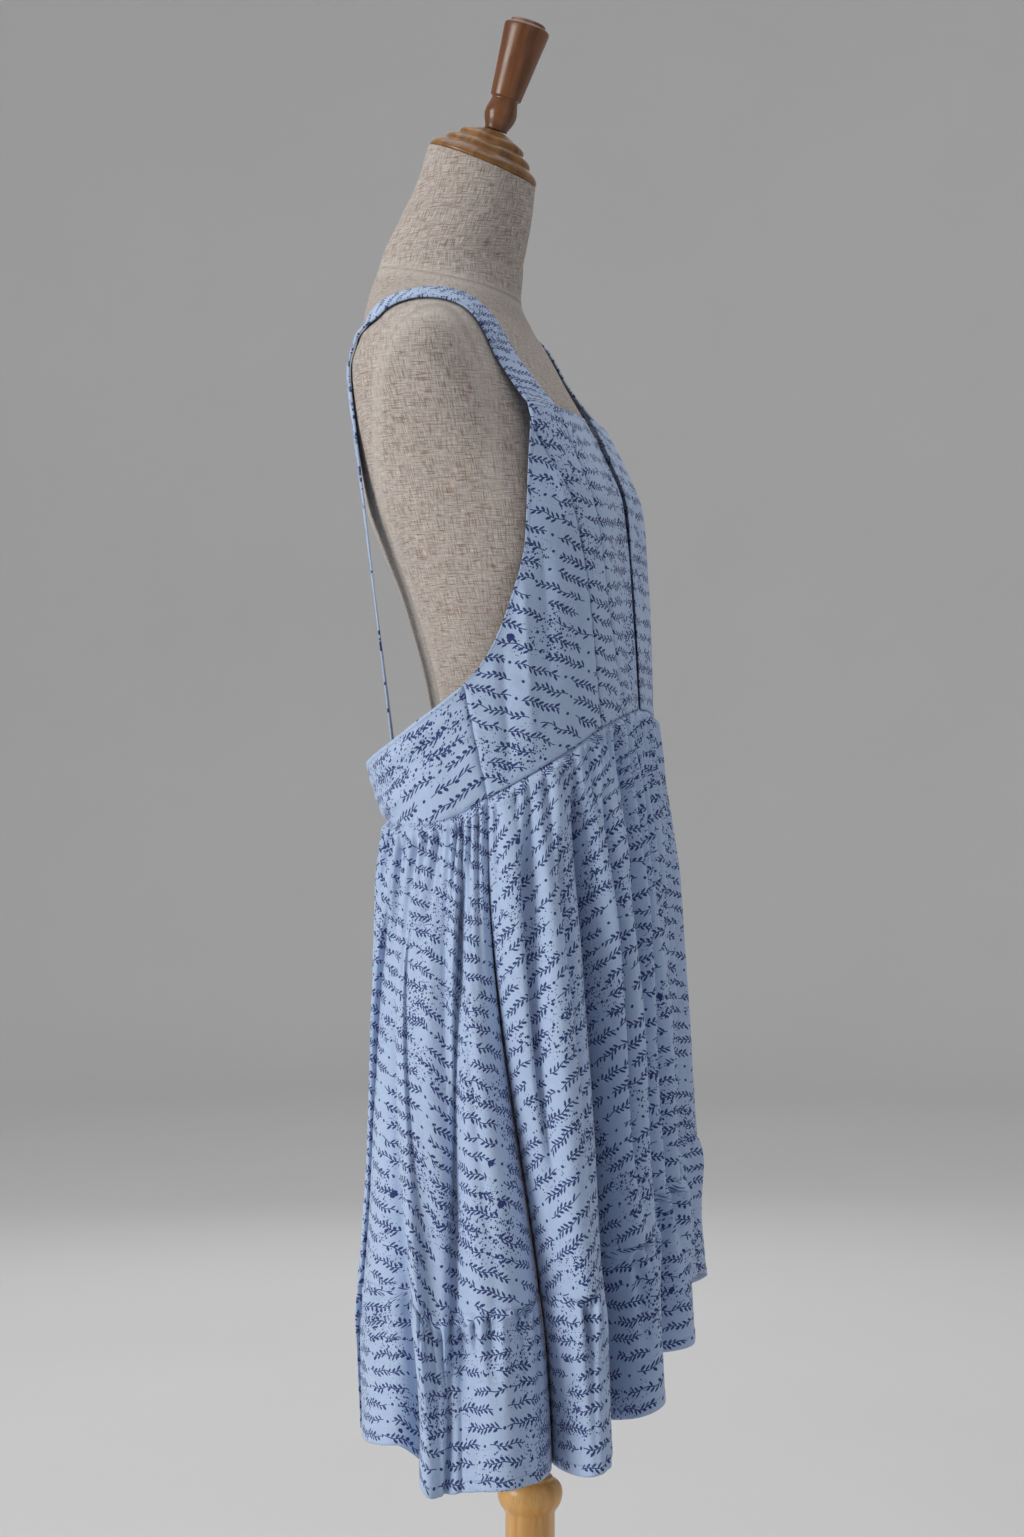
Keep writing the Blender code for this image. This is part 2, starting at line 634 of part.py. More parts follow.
def make_stand(pale):
    """The pole with its turned collar, and a plain round foot."""
    turned_piece("upper_pole", [
        (0, COLLAR_TOP + SEAM_GAP), (0.0165, COLLAR_TOP + SEAM_GAP),
        (0.0165, TORSO_BASE - SEAM_GAP), (0, TORSO_BASE - SEAM_GAP),
    ], pale)
    turned_piece("lower_pole", [
        (0, FOOT_HEIGHT + SEAM_GAP), (0.0215, FOOT_HEIGHT + SEAM_GAP),
        (0.0215, COLLAR_BASE), (0.0232, COLLAR_BASE + 0.002),
        (0.0262, COLLAR_BASE + 0.006), (0.0281, COLLAR_BASE + 0.012), (0.0283, COLLAR_BASE + 0.016),
        (0.0272, COLLAR_BASE + 0.021), (0.0245, COLLAR_BASE + 0.025), (0.0205, COLLAR_BASE + 0.027),
        (0.0195, COLLAR_TOP), (0, COLLAR_TOP),
    ], pale)
    turned_piece("stand_foot", [
        (0, 0), (0.186, 0), (0.190, 0.004), (0.190, 0.014), (0.186, 0.020), (0.175, 0.024),
        (0.062, 0.028), (0.048, 0.033), (0.036, 0.042), (0.032, FOOT_HEIGHT), (0, FOOT_HEIGHT),
    ], pale)


def main():
    for obj in list(bpy.data.objects):
        bpy.data.objects.remove(obj)
    cloth = material("printed_viscose", CLOTH_BLUE, 0.85)
    linen = material("linen_cover", LINEN, 0.90)
    dark = material("dark_varnished_wood", DARK_WOOD, 0.25)
    honey = material("honey_varnished_wood", HONEY_WOOD, 0.30)
    pale = material("pale_varnished_wood", PALE_WOOD, 0.30)

    surface = make_torso(linen)
    make_neck_and_handle(dark, honey)
    make_stand(pale)

    make_front(cloth)
    for word, side in (("right", -1), ("left", 1)):
        make_strap_panel("strap_panel_" + word, side, cloth)
        make_side_panel("side_panel_" + word, side, cloth)
        make_strap("strap_" + word, side, surface, cloth)
    make_back_band(cloth)
    make_skirt_panel("skirt_front", FRONT_VALLEYS, cloth)
    make_skirt_panel("skirt_back", BACK_VALLEYS, cloth)
    make_ruffle_panel("ruffle_front", FRONT_VALLEYS, cloth)
    make_ruffle_panel("ruffle_back", BACK_VALLEYS, cloth)


main()
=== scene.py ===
"""A gathered pinafore dress on a limbless linen dress form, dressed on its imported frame.

Units are metres and +Z is up. The wearer's front faces -Y and the wearer's left is +X.
Angles round the garment are in degrees from the centre front and grow towards the wearer's left.
"""

import math

import bmesh
import bpy
import numpy as np
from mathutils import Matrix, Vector
from mathutils.bvhtree import BVHTree


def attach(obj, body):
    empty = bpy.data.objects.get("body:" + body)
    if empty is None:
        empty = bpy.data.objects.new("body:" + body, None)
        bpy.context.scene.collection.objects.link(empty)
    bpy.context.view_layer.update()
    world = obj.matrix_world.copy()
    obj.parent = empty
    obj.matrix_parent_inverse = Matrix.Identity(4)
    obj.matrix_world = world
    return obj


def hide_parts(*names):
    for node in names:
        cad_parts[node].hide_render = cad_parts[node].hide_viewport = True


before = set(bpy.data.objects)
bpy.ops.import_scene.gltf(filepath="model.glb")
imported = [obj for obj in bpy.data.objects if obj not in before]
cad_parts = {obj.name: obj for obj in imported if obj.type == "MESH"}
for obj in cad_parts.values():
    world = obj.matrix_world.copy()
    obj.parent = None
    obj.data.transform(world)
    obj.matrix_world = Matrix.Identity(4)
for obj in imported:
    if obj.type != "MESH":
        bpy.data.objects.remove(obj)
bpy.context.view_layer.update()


# The studio: a pale painted floor that curves up into a round wall, far enough out that every view
# stands inside it. One wide soft lamp on the camera's left does most of the work, as a window does,
# with a weak fill from the other side and a soft light from above.

def linear(colour):
    """Linear light from an sRGB hex colour."""
    parts = [int(colour[n:n + 2], 16) / 255 for n in (0, 2, 4)]
    return tuple(c / 12.92 if c <= 0.04045 else ((c + 0.055) / 1.055) ** 2.4 for c in parts) + (1.0,)


def feed(tree, node, inputs):
    """Sets or links a shader node's inputs. A node given as an input means its first output."""
    for name, value in inputs.items():
        if isinstance(value, bpy.types.Node):
            value = value.outputs[0]
        if isinstance(value, bpy.types.NodeSocket):
            tree.links.new(value, node.inputs[name])
        else:
            node.inputs[name].default_value = value


def add(tree, kind, inputs=(), **settings):
    """Adds a shader node with its settings and its inputs."""
    node = tree.nodes.new("ShaderNode" + kind)
    for name, value in settings.items():
        setattr(node, name, value)
    feed(tree, node, dict(inputs))
    return node


def calc(tree, operation, *inputs):
    """One step of arithmetic."""
    return add(tree, "Math", dict(enumerate(inputs)), operation=operation)


def cells(tree, value):
    """Which whole cell a value lies in, and its share of the way through it."""
    return calc(tree, "FLOOR", value), calc(tree, "FRACT", value)


def ramp(tree, value, low, high, to_low, to_high):
    """Takes a value from one range to another, and holds it at that range's ends."""
    return add(tree, "MapRange", {0: value, 1: low, 2: high, 3: to_low, 4: to_high})


def blend(tree, share, colour, other, kind="MIX"):
    """Two colours mixed by a share, or multiplied."""
    mix = add(tree, "Mix", {0: share, 6: colour, 7: other}, data_type="RGBA", blend_type=kind)
    return mix.outputs[2]


def cell_luck(tree, *keys):
    """A chance value of its own for each cell, which two or three whole numbers name."""
    key = add(tree, "CombineXYZ", dict(enumerate(keys)))
    return add(tree, "TexWhiteNoise", {"Vector": key}, noise_dimensions="%dD" % len(keys))


def stretched_noise(tree, at, stretch, inputs, **placing):
    """Noise drawn out along an axis. placing turns or moves it."""
    drawn_out = add(tree, "Mapping", {"Vector": at, "Scale": stretch, **placing})
    return add(tree, "TexNoise", {"Vector": drawn_out, **inputs})


def new_finish(name):
    """An empty material with its shader, ready for its nodes."""
    finish = bpy.data.materials.new(name)
    finish.use_nodes = True
    return finish, finish.node_tree, finish.node_tree.nodes["Principled BSDF"]


def new_object(name, data):
    """An object of this mesh, camera or lamp, in the scene."""
    made = bpy.data.objects.new(name, data)
    bpy.context.scene.collection.objects.link(made)
    return made


def lathe(bm, profile, sides):
    """Spins (radius, height) points round the upright axis."""
    verts = [bm.verts.new((radius, 0, height)) for radius, height in profile]
    edges = [bm.edges.new(pair) for pair in zip(verts, verts[1:])]
    bmesh.ops.spin(bm, geom=verts + edges, cent=(0, 0, 0), axis=(0, 0, 1),
                   angle=2 * math.pi, steps=sides, use_merge=True)


STUDIO_RADIUS = 7.0
STUDIO_CURVE = 1.6
STUDIO_WALL = 6.5

profile = [(0.0, 0.0), (STUDIO_RADIUS - STUDIO_CURVE, 0.0)]
for step in range(1, 13):
    turn = math.radians(90 * step / 12)
    profile.append((
        STUDIO_RADIUS - STUDIO_CURVE + STUDIO_CURVE * math.sin(turn),
        STUDIO_CURVE - STUDIO_CURVE * math.cos(turn),
    ))
profile.append((STUDIO_RADIUS, STUDIO_WALL))
bm = bmesh.new()
lathe(bm, profile, 72)
bmesh.ops.remove_doubles(bm, verts=bm.verts, dist=1e-5)
studio_mesh = bpy.data.meshes.new("studio_floor")
bm.to_mesh(studio_mesh)
bm.free()
studio_mesh.shade_smooth()
new_object("studio_floor", studio_mesh)

# Matt wall paint: an even pale grey with no shine, and a breath of roller stipple.
paint, tree, shader = new_finish("matt_wall_paint")
place = add(tree, "TexCoord")
stipple = add(tree, "TexNoise", {"Vector": place.outputs["Object"], "Scale": 1.5, "Detail": 3.0})
tone = blend(tree, stipple, linear("D6D6D6"), linear("DCDCDC"))
feed(tree, shader, {"Base Color": tone, "Roughness": 0.9, "Specular IOR Level": 0.2})
studio_mesh.materials.append(paint)

# The camera stands level, about 2.25 m from the pole, and looks along (0.968, 0.250), so its left
# is (-0.250, 0.968).
CAMERA_AT = (-2.1822, -0.5482, 0.944)
CAMERA_HEADING = -75.5
CAMERA_LENS = 60.66

camera = new_object("camera", bpy.data.cameras.new("camera"))
camera.location = CAMERA_AT
camera.rotation_euler = (math.radians(90), 0, math.radians(CAMERA_HEADING))
camera.data.sensor_width = 36
camera.data.lens = CAMERA_LENS
bpy.context.scene.camera = camera


def soft_lamp(name, place, target, size, watts, colour):
    """A wide soft lamp at a place, turned to a target."""
    lamp = bpy.data.lights.new(name, "AREA")
    lamp.shape = "RECTANGLE"
    lamp.size, lamp.size_y = size
    lamp.energy = watts
    lamp.color = linear(colour)[:3]
    holder = new_object(name, lamp)
    holder.location = place
    holder.rotation_euler = (Vector(target) - Vector(place)).to_track_quat("-Z", "Y").to_euler()


soft_lamp("window_light", (-2.05, 2.30, 1.75), (0, 0.03, 0.95), (1.4, 2.1), 66, "FFFDF8")
soft_lamp("room_fill", (-2.3, -2.6, 1.9), (0, 0, 0.9), (2.2, 2.2), 7, "F6F8FF")
soft_lamp("far_side_fill", (2.6, 1.0, 1.9), (0, 0, 0.9), (2.4, 2.4), 12, "FBFAFF")
soft_lamp("ceiling_light", (1.0, 0, 5.2), (2.0, 0, 0), (5.0, 5.0), 104, "FFFFFF")

world = bpy.data.worlds.new("room_light")
world.use_nodes = True
sky = world.node_tree.nodes["Background"]
feed(world.node_tree, sky, {"Color": linear("E8E9EC"), "Strength": 0.33})
bpy.context.scene.world = world
bpy.context.scene.view_settings.view_transform = "Standard"


# The stand: a plain round foot and a lower and an upper pole with a turned collar between them.
# Turned beech, stained pale gold and varnished. The poles screw into one another under the collar.

def turned(name, profile, finish, node, round_over=0.0006, tilt=0.0, at=(0, 0, 0)):
    """A lathe-turned piece, its profile given from the foot up, that leans forward by tilt."""
    bm = bmesh.new()
    lathe(bm, profile, 96)
    bmesh.ops.remove_doubles(bm, verts=bm.verts, dist=1e-6)
    bmesh.ops.recalc_face_normals(bm, faces=bm.faces)
    rims = [e for e in bm.edges if len(e.link_faces) == 2 and e.calc_face_angle() > math.radians(35)]
    bmesh.ops.bevel(bm, geom=rims, offset=round_over, offset_type="OFFSET", segments=2,
                    profile=0.5, affect="EDGES", material=-1, clamp_overlap=True)
    before_leaning = bm.verts.layers.float_vector.new("wood_place")
    for vert in bm.verts:
        vert[before_leaning] = vert.co
    axis = Vector((0, -math.sin(math.radians(tilt)), math.cos(math.radians(tilt))))
    leaning = Vector((0, 0, 1)).rotation_difference(axis).to_matrix()
    bmesh.ops.rotate(bm, verts=bm.verts, cent=(0, 0, 0), matrix=leaning)
    bmesh.ops.translate(bm, verts=bm.verts, vec=at)
    mesh = bpy.data.meshes.new(name)
    bm.to_mesh(mesh)
    bm.free()
    mesh.materials.append(finish)
    mesh.shade_smooth()
    mesh.set_sharp_from_angle(angle=math.radians(40))
    piece = new_object(name, mesh)
    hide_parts(node)
    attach(piece, "root")


def varnished_wood(name, pale, deep, gloss, streak):
    """Long soft grain along the turning's axis, darker late wood and fine pores, under clear varnish."""
    finish, tree, shader = new_finish(name)
    at = add(tree, "Attribute", attribute_name="wood_place").outputs["Vector"]
    # Growth bands about 10 mm apart that run along the piece, so they are stretched 14 times along Z.
    bands = stretched_noise(tree, at, (1, 1, 0.07), {
        "Scale": 95.0, "Detail": 4.0, "Roughness": 0.55, "Distortion": 0.6}, Rotation=(0.03, 0.02, 0))
    pores = stretched_noise(tree, at, (1, 1, 0.05), {"Scale": 900.0, "Detail": 2.0})
    spread = ramp(tree, bands, 0.34, 0.66, 0.0, streak)
    colour = blend(tree, spread, linear(pale), linear(deep))
    fleck = ramp(tree, pores, 0.58, 0.72, 1.0, 0.80)
    flecked = blend(tree, 1.0, colour, fleck, "MULTIPLY")
    wear = add(tree, "TexNoise", {"Vector": at, "Scale": 60.0, "Detail": 3.0})
    rough = ramp(tree, wear, 0.3, 0.7, gloss, gloss + 0.12)
    bump = add(tree, "Bump", {"Height": pores, "Strength": 0.12, "Distance": 0.0004})
    feed(tree, shader, {"Base Color": flecked, "Roughness": rough, "Normal": bump,
                        "Coat Weight": 0.15, "Coat Roughness": 0.12})
    return finish


TORSO_BASE = 0.700
COLLAR_TOP = 0.330
COLLAR_BASE = 0.300
FOOT_HEIGHT = 0.048
FIT = 0.0003

pale_beech = varnished_wood("pale_gold_varnished_beech", "E4B26E", "C68C48", 0.30, 0.75)

turned("upper_pole_wood", [
    (0, COLLAR_TOP + FIT), (0.0165, COLLAR_TOP + FIT), (0.0165, TORSO_BASE - FIT), (0, TORSO_BASE - FIT),
], pale_beech, "upper_pole")
turned("lower_pole_wood", [
    (0, FOOT_HEIGHT + FIT), (0.0215, FOOT_HEIGHT + FIT), (0.0215, COLLAR_BASE - 0.001), (0.0222, COLLAR_BASE),
    (0.0236, COLLAR_BASE + 0.0022), (0.0250, COLLAR_BASE + 0.0042), (0.0264, COLLAR_BASE + 0.0066),
    (0.0275, COLLAR_BASE + 0.0096), (0.0281, COLLAR_BASE + 0.0126), (0.0283, COLLAR_BASE + 0.0156),
    (0.0280, COLLAR_BASE + 0.0186), (0.0272, COLLAR_BASE + 0.0212), (0.0258, COLLAR_BASE + 0.0236),
    (0.0240, COLLAR_BASE + 0.0254), (0.0218, COLLAR_BASE + 0.0267), (0.0205, COLLAR_BASE + 0.0270),
    (0.0200, COLLAR_BASE + 0.0284), (0.0195, COLLAR_TOP), (0, COLLAR_TOP),
], pale_beech, "lower_pole")
turned("stand_foot_wood", [
    (0, 0), (0.186, 0), (0.1885, 0.0012), (0.190, 0.004), (0.190, 0.014), (0.1892, 0.0168), (0.1870, 0.0194),
    (0.1830, 0.0220), (0.175, 0.024), (0.062, 0.028), (0.0545, 0.0298), (0.048, 0.033), (0.0420, 0.0372),
    (0.036, 0.042), (0.0335, 0.0450), (0.032, FOOT_HEIGHT), (0, FOOT_HEIGHT),
], pale_beech, "stand_foot", round_over=0.0004)


# The form: a limbless body, moulded and covered in natural linen, from the hips to the top of the neck.
# The cover is sewn in panels, so a seam runs over each shoulder, round each arm plate and down each side.

def read_table(rows, keys):
    """A table's other columns at many keys, on smooth curves through its rows that never overshoot them."""
    rows = np.asarray(rows, float)
    at, values = rows[:, 0], rows[:, 1:]
    step = np.diff(at)
    rise = np.diff(values, axis=0) / step[:, None]
    before, after = np.vstack([rise[:1], rise]), np.vstack([rise, rise[-1:]])
    along = before * after > 0
    slope = np.where(along, 2 * before * after / np.where(along, before + after, 1.0), 0.0)
    keys = np.clip(keys, at[0], at[-1])
    i = np.clip(np.searchsorted(at, keys) - 1, 0, len(step) - 1)
    share, size = ((keys - at[i]) / step[i])[..., None], step[i][..., None]
    turn = share * share * (3 - 2 * share)
    return (values[i] + (values[i + 1] - values[i]) * turn
            + share * (1 - share) ** 2 * size * slope[i] + share * share * (share - 1) * size * slope[i + 1])


def eased(share):
    share = np.clip(share, 0.0, 1.0)
    return share * share * (3 - 2 * share)


def ring_radius(angle, half_width, front_depth, back_depth, front_power, back_power):
    """Distance from a ring's centre to its edge, at an angle in radians from the front."""
    across, along = np.abs(np.sin(angle)), np.cos(angle)
    depth = np.where(along > 0, front_depth, back_depth)
    power = np.where(along > 0, front_power, back_power)
    return ((across / half_width) ** power + (np.abs(along) / depth) ** power) ** (-1 / power)


def sheet_mesh(name, columns, rows, place):
    """A fine grid laid on place(u, v), u round to the wearer's left and v down, with its UV maps."""
    bm = bmesh.new()
    bmesh.ops.create_grid(bm, x_segments=columns, y_segments=rows, size=0.5)
    mesh = bpy.data.meshes.new(name)
    bm.to_mesh(mesh)
    bm.free()
    flat = np.empty(len(mesh.vertices) * 3)
    mesh.vertices.foreach_get("co", flat)
    points, maps = place(flat[0::3] + 0.5, 0.5 - flat[1::3])
    mesh.vertices.foreach_set("co", np.stack(points, axis=1).astype(np.float32).ravel())
    corners = np.empty(len(mesh.loops), np.int32)
    mesh.loops.foreach_get("vertex_index", corners)
    for layer, (across, up) in maps.items():
        made = mesh.uv_layers.new(name=layer)
        pairs = np.stack([across[corners], up[corners]], axis=1).astype(np.float32)
        made.data.foreach_set("uv", pairs.ravel())
    mesh.update()
    return mesh


# height, centre, half_width, front_depth, back_depth, front_power, back_power, tilt
TORSO = [
    (0.700, 0.015, 0.152, 0.088, 0.078, 2.2, 2.2, 0), (0.735, 0.015, 0.158, 0.094, 0.084, 2.2, 2.2, 0),
    (0.780, 0.015, 0.160, 0.097, 0.086, 2.2, 2.2, 0), (0.825, 0.013, 0.155, 0.095, 0.083, 2.2, 2.2, 0),
    (0.870, 0.009, 0.144, 0.090, 0.080, 2.2, 2.2, 0), (0.920, 0.004, 0.130, 0.084, 0.078, 2.2, 2.2, 0),
    (0.968, 0.000, 0.122, 0.078, 0.077, 2.2, 2.1, 0), (1.010, 0.003, 0.124, 0.077, 0.081, 2.2, 2.1, 0),
    (1.050, 0.010, 0.130, 0.082, 0.084, 2.3, 2.1, 0), (1.090, 0.018, 0.138, 0.092, 0.088, 2.5, 2.1, 0),
    (1.125, 0.025, 0.144, 0.102, 0.096, 2.6, 2.1, 0), (1.165, 0.032, 0.149, 0.106, 0.1035, 2.5, 2.2, 0),
    (1.205, 0.039, 0.157, 0.101, 0.0990, 2.3, 2.4, 0), (1.245, 0.046, 0.167, 0.0895, 0.0935, 2.1, 2.5, 0),
    (1.280, 0.053, 0.171, 0.076, 0.0890, 2.1, 2.4, 0), (1.303, 0.057, 0.165, 0.066, 0.0840, 2.3, 2.1, 0),
    (1.320, 0.060, 0.148, 0.059, 0.087, 2.5, 1.6, 0), (1.334, 0.062, 0.122, 0.054, 0.084, 2.4, 1.7, 0),
    (1.347, 0.065, 0.094, 0.053, 0.080, 2.2, 1.8, 0), (1.361, 0.068, 0.070, 0.057, 0.074, 2.1, 1.9, 1),
    (1.385, 0.0685, 0.056, 0.061, 0.064, 2.0, 2.0, 5), (1.411, 0.060, 0.052, 0.057, 0.058, 2.0, 2.0, 12),
    (1.440, 0.0495, 0.050, 0.0525, 0.053, 2.0, 2.0, 19),
    (1.469, 0.0430, 0.049, 0.0500, 0.0505, 2.0, 2.0, 22.5),
]
PLATE_MIDDLE = 0.045
PLATE_HALF_WIDTH = 0.053
PLATE_FOOT = 1.16
PLATE_HEIGHT = 0.165
NECK_FOOT = 1.361
FAR_FROM_SEAM = 0.05
# height, how far back the seam lies
BACK_SEAM = [
    (0.70, 0.046), (0.968, 0.050), (1.01, 0.056), (1.05, 0.065), (1.09, 0.078), (1.125, 0.090),
    (PLATE_FOOT, 0.098),
]


def torso_face(u, v):
    """The linen's face. v runs up here, with more rows over the shoulders, where the form turns in."""
    heights = np.array([row[0] for row in TORSO])
    height = np.interp(v * (len(TORSO) - 1), np.arange(len(TORSO)), heights)
    angle = 2 * np.pi * u
    centre, half_width, front, back, front_power, back_power, tilt = read_table(TORSO, height).T
    reach = ring_radius(angle, half_width, front, back, front_power, back_power)
    tilt = np.radians(tilt)
    along = -reach * np.cos(angle)
    x, y, z = reach * np.sin(angle), centre + along * np.cos(tilt), height + along * np.sin(tilt)
    # Distance to the cover's seams: round the arm plate and on down the side of the back, round the
    # foot of the neck, and along the shoulder between them. Away from a seam it is FAR_FROM_SEAM.
    plate = np.hypot((y - PLATE_MIDDLE) / PLATE_HALF_WIDTH, (z - PLATE_FOOT) / PLATE_HEIGHT)
    down_back = np.interp(z, *zip(*BACK_SEAM))
    beside = z > PLATE_FOOT
    seam = np.where(beside & (z < 1.34), np.abs(plate - 1) * 0.065, FAR_FROM_SEAM)
    seam = np.where(beside, seam, np.abs(y - down_back) * 0.8)
    neck_foot = NECK_FOOT + 0.24 * (y - 0.05)
    shoulder = np.where((z > 1.322) & (z < NECK_FOOT), np.abs(y - 0.060), FAR_FROM_SEAM)
    nearest = np.minimum(np.minimum(seam, np.abs(z - neck_foot)), shoulder)
    on_neck = z > neck_foot
    profile = np.linspace(TORSO[0][0], TORSO[-1][0], 400)
    widths = read_table(TORSO, profile)[:, 1]
    lengths = np.concatenate([[0.0], np.cumsum(np.hypot(np.diff(profile), np.diff(widths)))])
    up = np.where(on_neck, z + 0.4, np.interp(height, profile, lengths))
    across = angle * np.where(on_neck, 0.052, 0.14)
    return (x, y, z), {"weave": (across, up), "cover_seam": (nearest, z)}


mesh = sheet_mesh("form_torso_linen", 216, 230, torso_face)
bm = bmesh.new()
bm.from_mesh(mesh)
bmesh.ops.remove_doubles(bm, verts=bm.verts, dist=1e-6)
bmesh.ops.holes_fill(bm, edges=[e for e in bm.edges if e.is_boundary], sides=0)
bmesh.ops.recalc_face_normals(bm, faces=bm.faces)
torso_surface = BVHTree.FromBMesh(bm)
bm.to_mesh(mesh)
bm.free()
mesh.shade_smooth()
mesh.set_sharp_from_angle(angle=math.radians(50))
torso = new_object("form_torso_linen", mesh)
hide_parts("form_torso")
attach(torso, "root")

# Natural linen, plain woven from uneven yarn, which gives it a dry, flecked face: brown slubs 5 to 15 mm
# long lie along both thread directions. The threads are 1 mm apart, coarser than real ones so that they show.
linen, tree, shader = new_finish("natural_linen")
weave = add(tree, "UVMap", uv_map="weave")
threads, slubs = [], []
for stretch in ((1, 11, 1), (12, 1, 1)):
    threads.append(stretched_noise(tree, weave, stretch, {"Scale": 90.0, "Detail": 3.0, "Roughness": 0.65}))
    slub = stretched_noise(tree, weave, stretch, {"Scale": 82.0, "Detail": 1.0, "Roughness": 0.5},
                           Location=(3.1, 1.7, 0))
    slubs.append(ramp(tree, slub, 0.60, 0.68, 0.0, 0.80))
cloud = add(tree, "TexNoise", {"Vector": weave, "Scale": 22.0, "Detail": 4.0})
base = blend(tree, cloud, linear("B1A69F"), linear("BFB6B1"))
mesh_of_threads = calc(tree, "ADD", threads[0], threads[1])
open_weave = ramp(tree, mesh_of_threads, 0.74, 1.26, 0.50, 1.42)
woven = blend(tree, 1.0, base, open_weave, "MULTIPLY")
level = blend(tree, slubs[0], woven, linear("8B6E52"))
upright = blend(tree, slubs[1], level, linear("8A735E"))
seam_map = add(tree, "UVMap", uv_map="cover_seam")
seam_at = add(tree, "SeparateXYZ", {0: seam_map})
seam_line = ramp(tree, seam_at.outputs[0], 0.0004, 0.0017, 0.55, 0.0)
sewn = blend(tree, seam_line, upright, linear("6A5E50"))
turned_under = ramp(tree, seam_at.outputs[0], 0.003, 0.010, 0.35, 0.0)
covered = blend(tree, turned_under, sewn, linear("D2CBC3"))
sunk = calc(tree, "SUBTRACT", mesh_of_threads, seam_line)
bump = add(tree, "Bump", {"Height": sunk, "Strength": 0.5, "Distance": 0.0012})
feed(tree, shader, {"Base Color": covered, "Roughness": 0.88, "Sheen Weight": 0.12, "Normal": bump})
mesh.materials.append(linen)


# The neck cap and the handle: turned hardwood, the cap honey brown with rounded steps and the handle
# darker and glossier, with a ball at its foot and a small disc on top. Both screw down into the neck.

NECK_TOP = (0.0, 0.0430, 1.4690)
CAP_HEIGHT = 0.0315
NECK_TILT = 22.5
HANDLE_TILT = 18.0
HANDLE_AT = (0.0, 0.0410, 1.4690)

honey_wood = varnished_wood("honey_varnished_hardwood", "97682F", "67421B", 0.34, 0.9)
turned("neck_cap_wood", [
    (0, FIT), (0.0490, FIT), (0.0499, 0.0010), (0.0501, 0.0022), (0.0497, 0.0036), (0.0486, 0.0054),
    (0.0466, 0.0074), (0.0438, 0.0092), (0.0404, 0.0106), (0.0396, 0.0113), (0.0396, 0.0126),
    (0.0392, 0.0142), (0.0380, 0.0160), (0.0358, 0.0176), (0.0330, 0.0188), (0.0306, 0.0195),
    (0.0302, 0.0203), (0.0302, 0.0220), (0.0296, 0.0238), (0.0278, 0.0254), (0.0250, 0.0268),
    (0.0220, 0.0280), (0.0190, 0.0292), (0.0160, 0.0304), (0.0130, CAP_HEIGHT), (0, CAP_HEIGHT),
], honey_wood, "neck_cap", tilt=NECK_TILT, at=NECK_TOP, round_over=0.0003)

dark_wood = varnished_wood("brown_gloss_varnished_hardwood", "80502E", "583218", 0.26, 0.9)
HANDLE_FOOT = CAP_HEIGHT + 3 * FIT
turned("neck_handle_wood", [(radius, HANDLE_FOOT + up) for radius, up in (
    (0, 0), (0.0100, 0), (0.0104, 0.0020), (0.0114, 0.0044), (0.0127, 0.0072), (0.0137, 0.0100),
    (0.0143, 0.0132), (0.0143, 0.0162), (0.0138, 0.0192), (0.0130, 0.0222), (0.0122, 0.0252),
    (0.0118, 0.0266), (0.0118, 0.0276), (0.0126, 0.0280), (0.0139, 0.0292), (0.0155, 0.0440),
    (0.0172, 0.0600), (0.0188, 0.0750), (0.0203, 0.0870), (0.0206, 0.0895), (0.0204, 0.0915),
    (0.0190, 0.0930), (0.0168, 0.0937), (0.0162, 0.0944), (0.0158, 0.0960), (0.0148, 0.0970), (0, 0.0972),
)], dark_wood, "neck_handle", tilt=HANDLE_TILT, at=HANDLE_AT, round_over=0.0003)


# The dress's cloth: light plain-woven viscose, pale blue and matt, printed in dark blue ink with rows of
# small leafy sprigs that run one way and then the other, fine ink spatter in drifts, and a few blots.
# Every cloth piece carries a map called print, in metres of the flat cut, that its rows follow.

PALE_BLUE = "B8CCEA"
PALE_BLUE_SHADE = "A7BCDE"
INK_BLUE = "11266C"
ROW_PITCH_MM = 13.6
SPRIG_PITCH_MM = 47.0
LEAF_PITCH_MM = 4.3
STEM_WAVE_MM = 0.9
STEM_WAVE_LENGTH_MM = 19
SWAY_MM = 7.0

printed, tree, shader = new_finish("printed_viscose")
cut = add(tree, "UVMap", uv_map="print")
flat_mm = add(tree, "VectorMath", {0: cut, 1: (1000, 1000, 0)}, operation="MULTIPLY")
sway = add(tree, "TexNoise", {"Vector": flat_mm, "Scale": 0.016, "Detail": 1.0})
axes = add(tree, "SeparateXYZ", {0: flat_mm})
swayed = calc(tree, "MULTIPLY_ADD", sway, SWAY_MM, axes.outputs[1])
row_at = calc(tree, "DIVIDE", swayed, ROW_PITCH_MM)
row, row_share = cells(tree, row_at)
above = calc(tree, "MULTIPLY_ADD", row_share, ROW_PITCH_MM, -ROW_PITCH_MM / 2)
row_luck = add(tree, "TexWhiteNoise", {"W": row}, noise_dimensions="1D")
odd = calc(tree, "FLOORED_MODULO", row, 2.0)
heading = calc(tree, "MULTIPLY_ADD", odd, 2.0, -1.0)
headed = calc(tree, "MULTIPLY", axes.outputs[0], heading)
shifted = calc(tree, "MULTIPLY_ADD", row_luck, 170.0, headed)

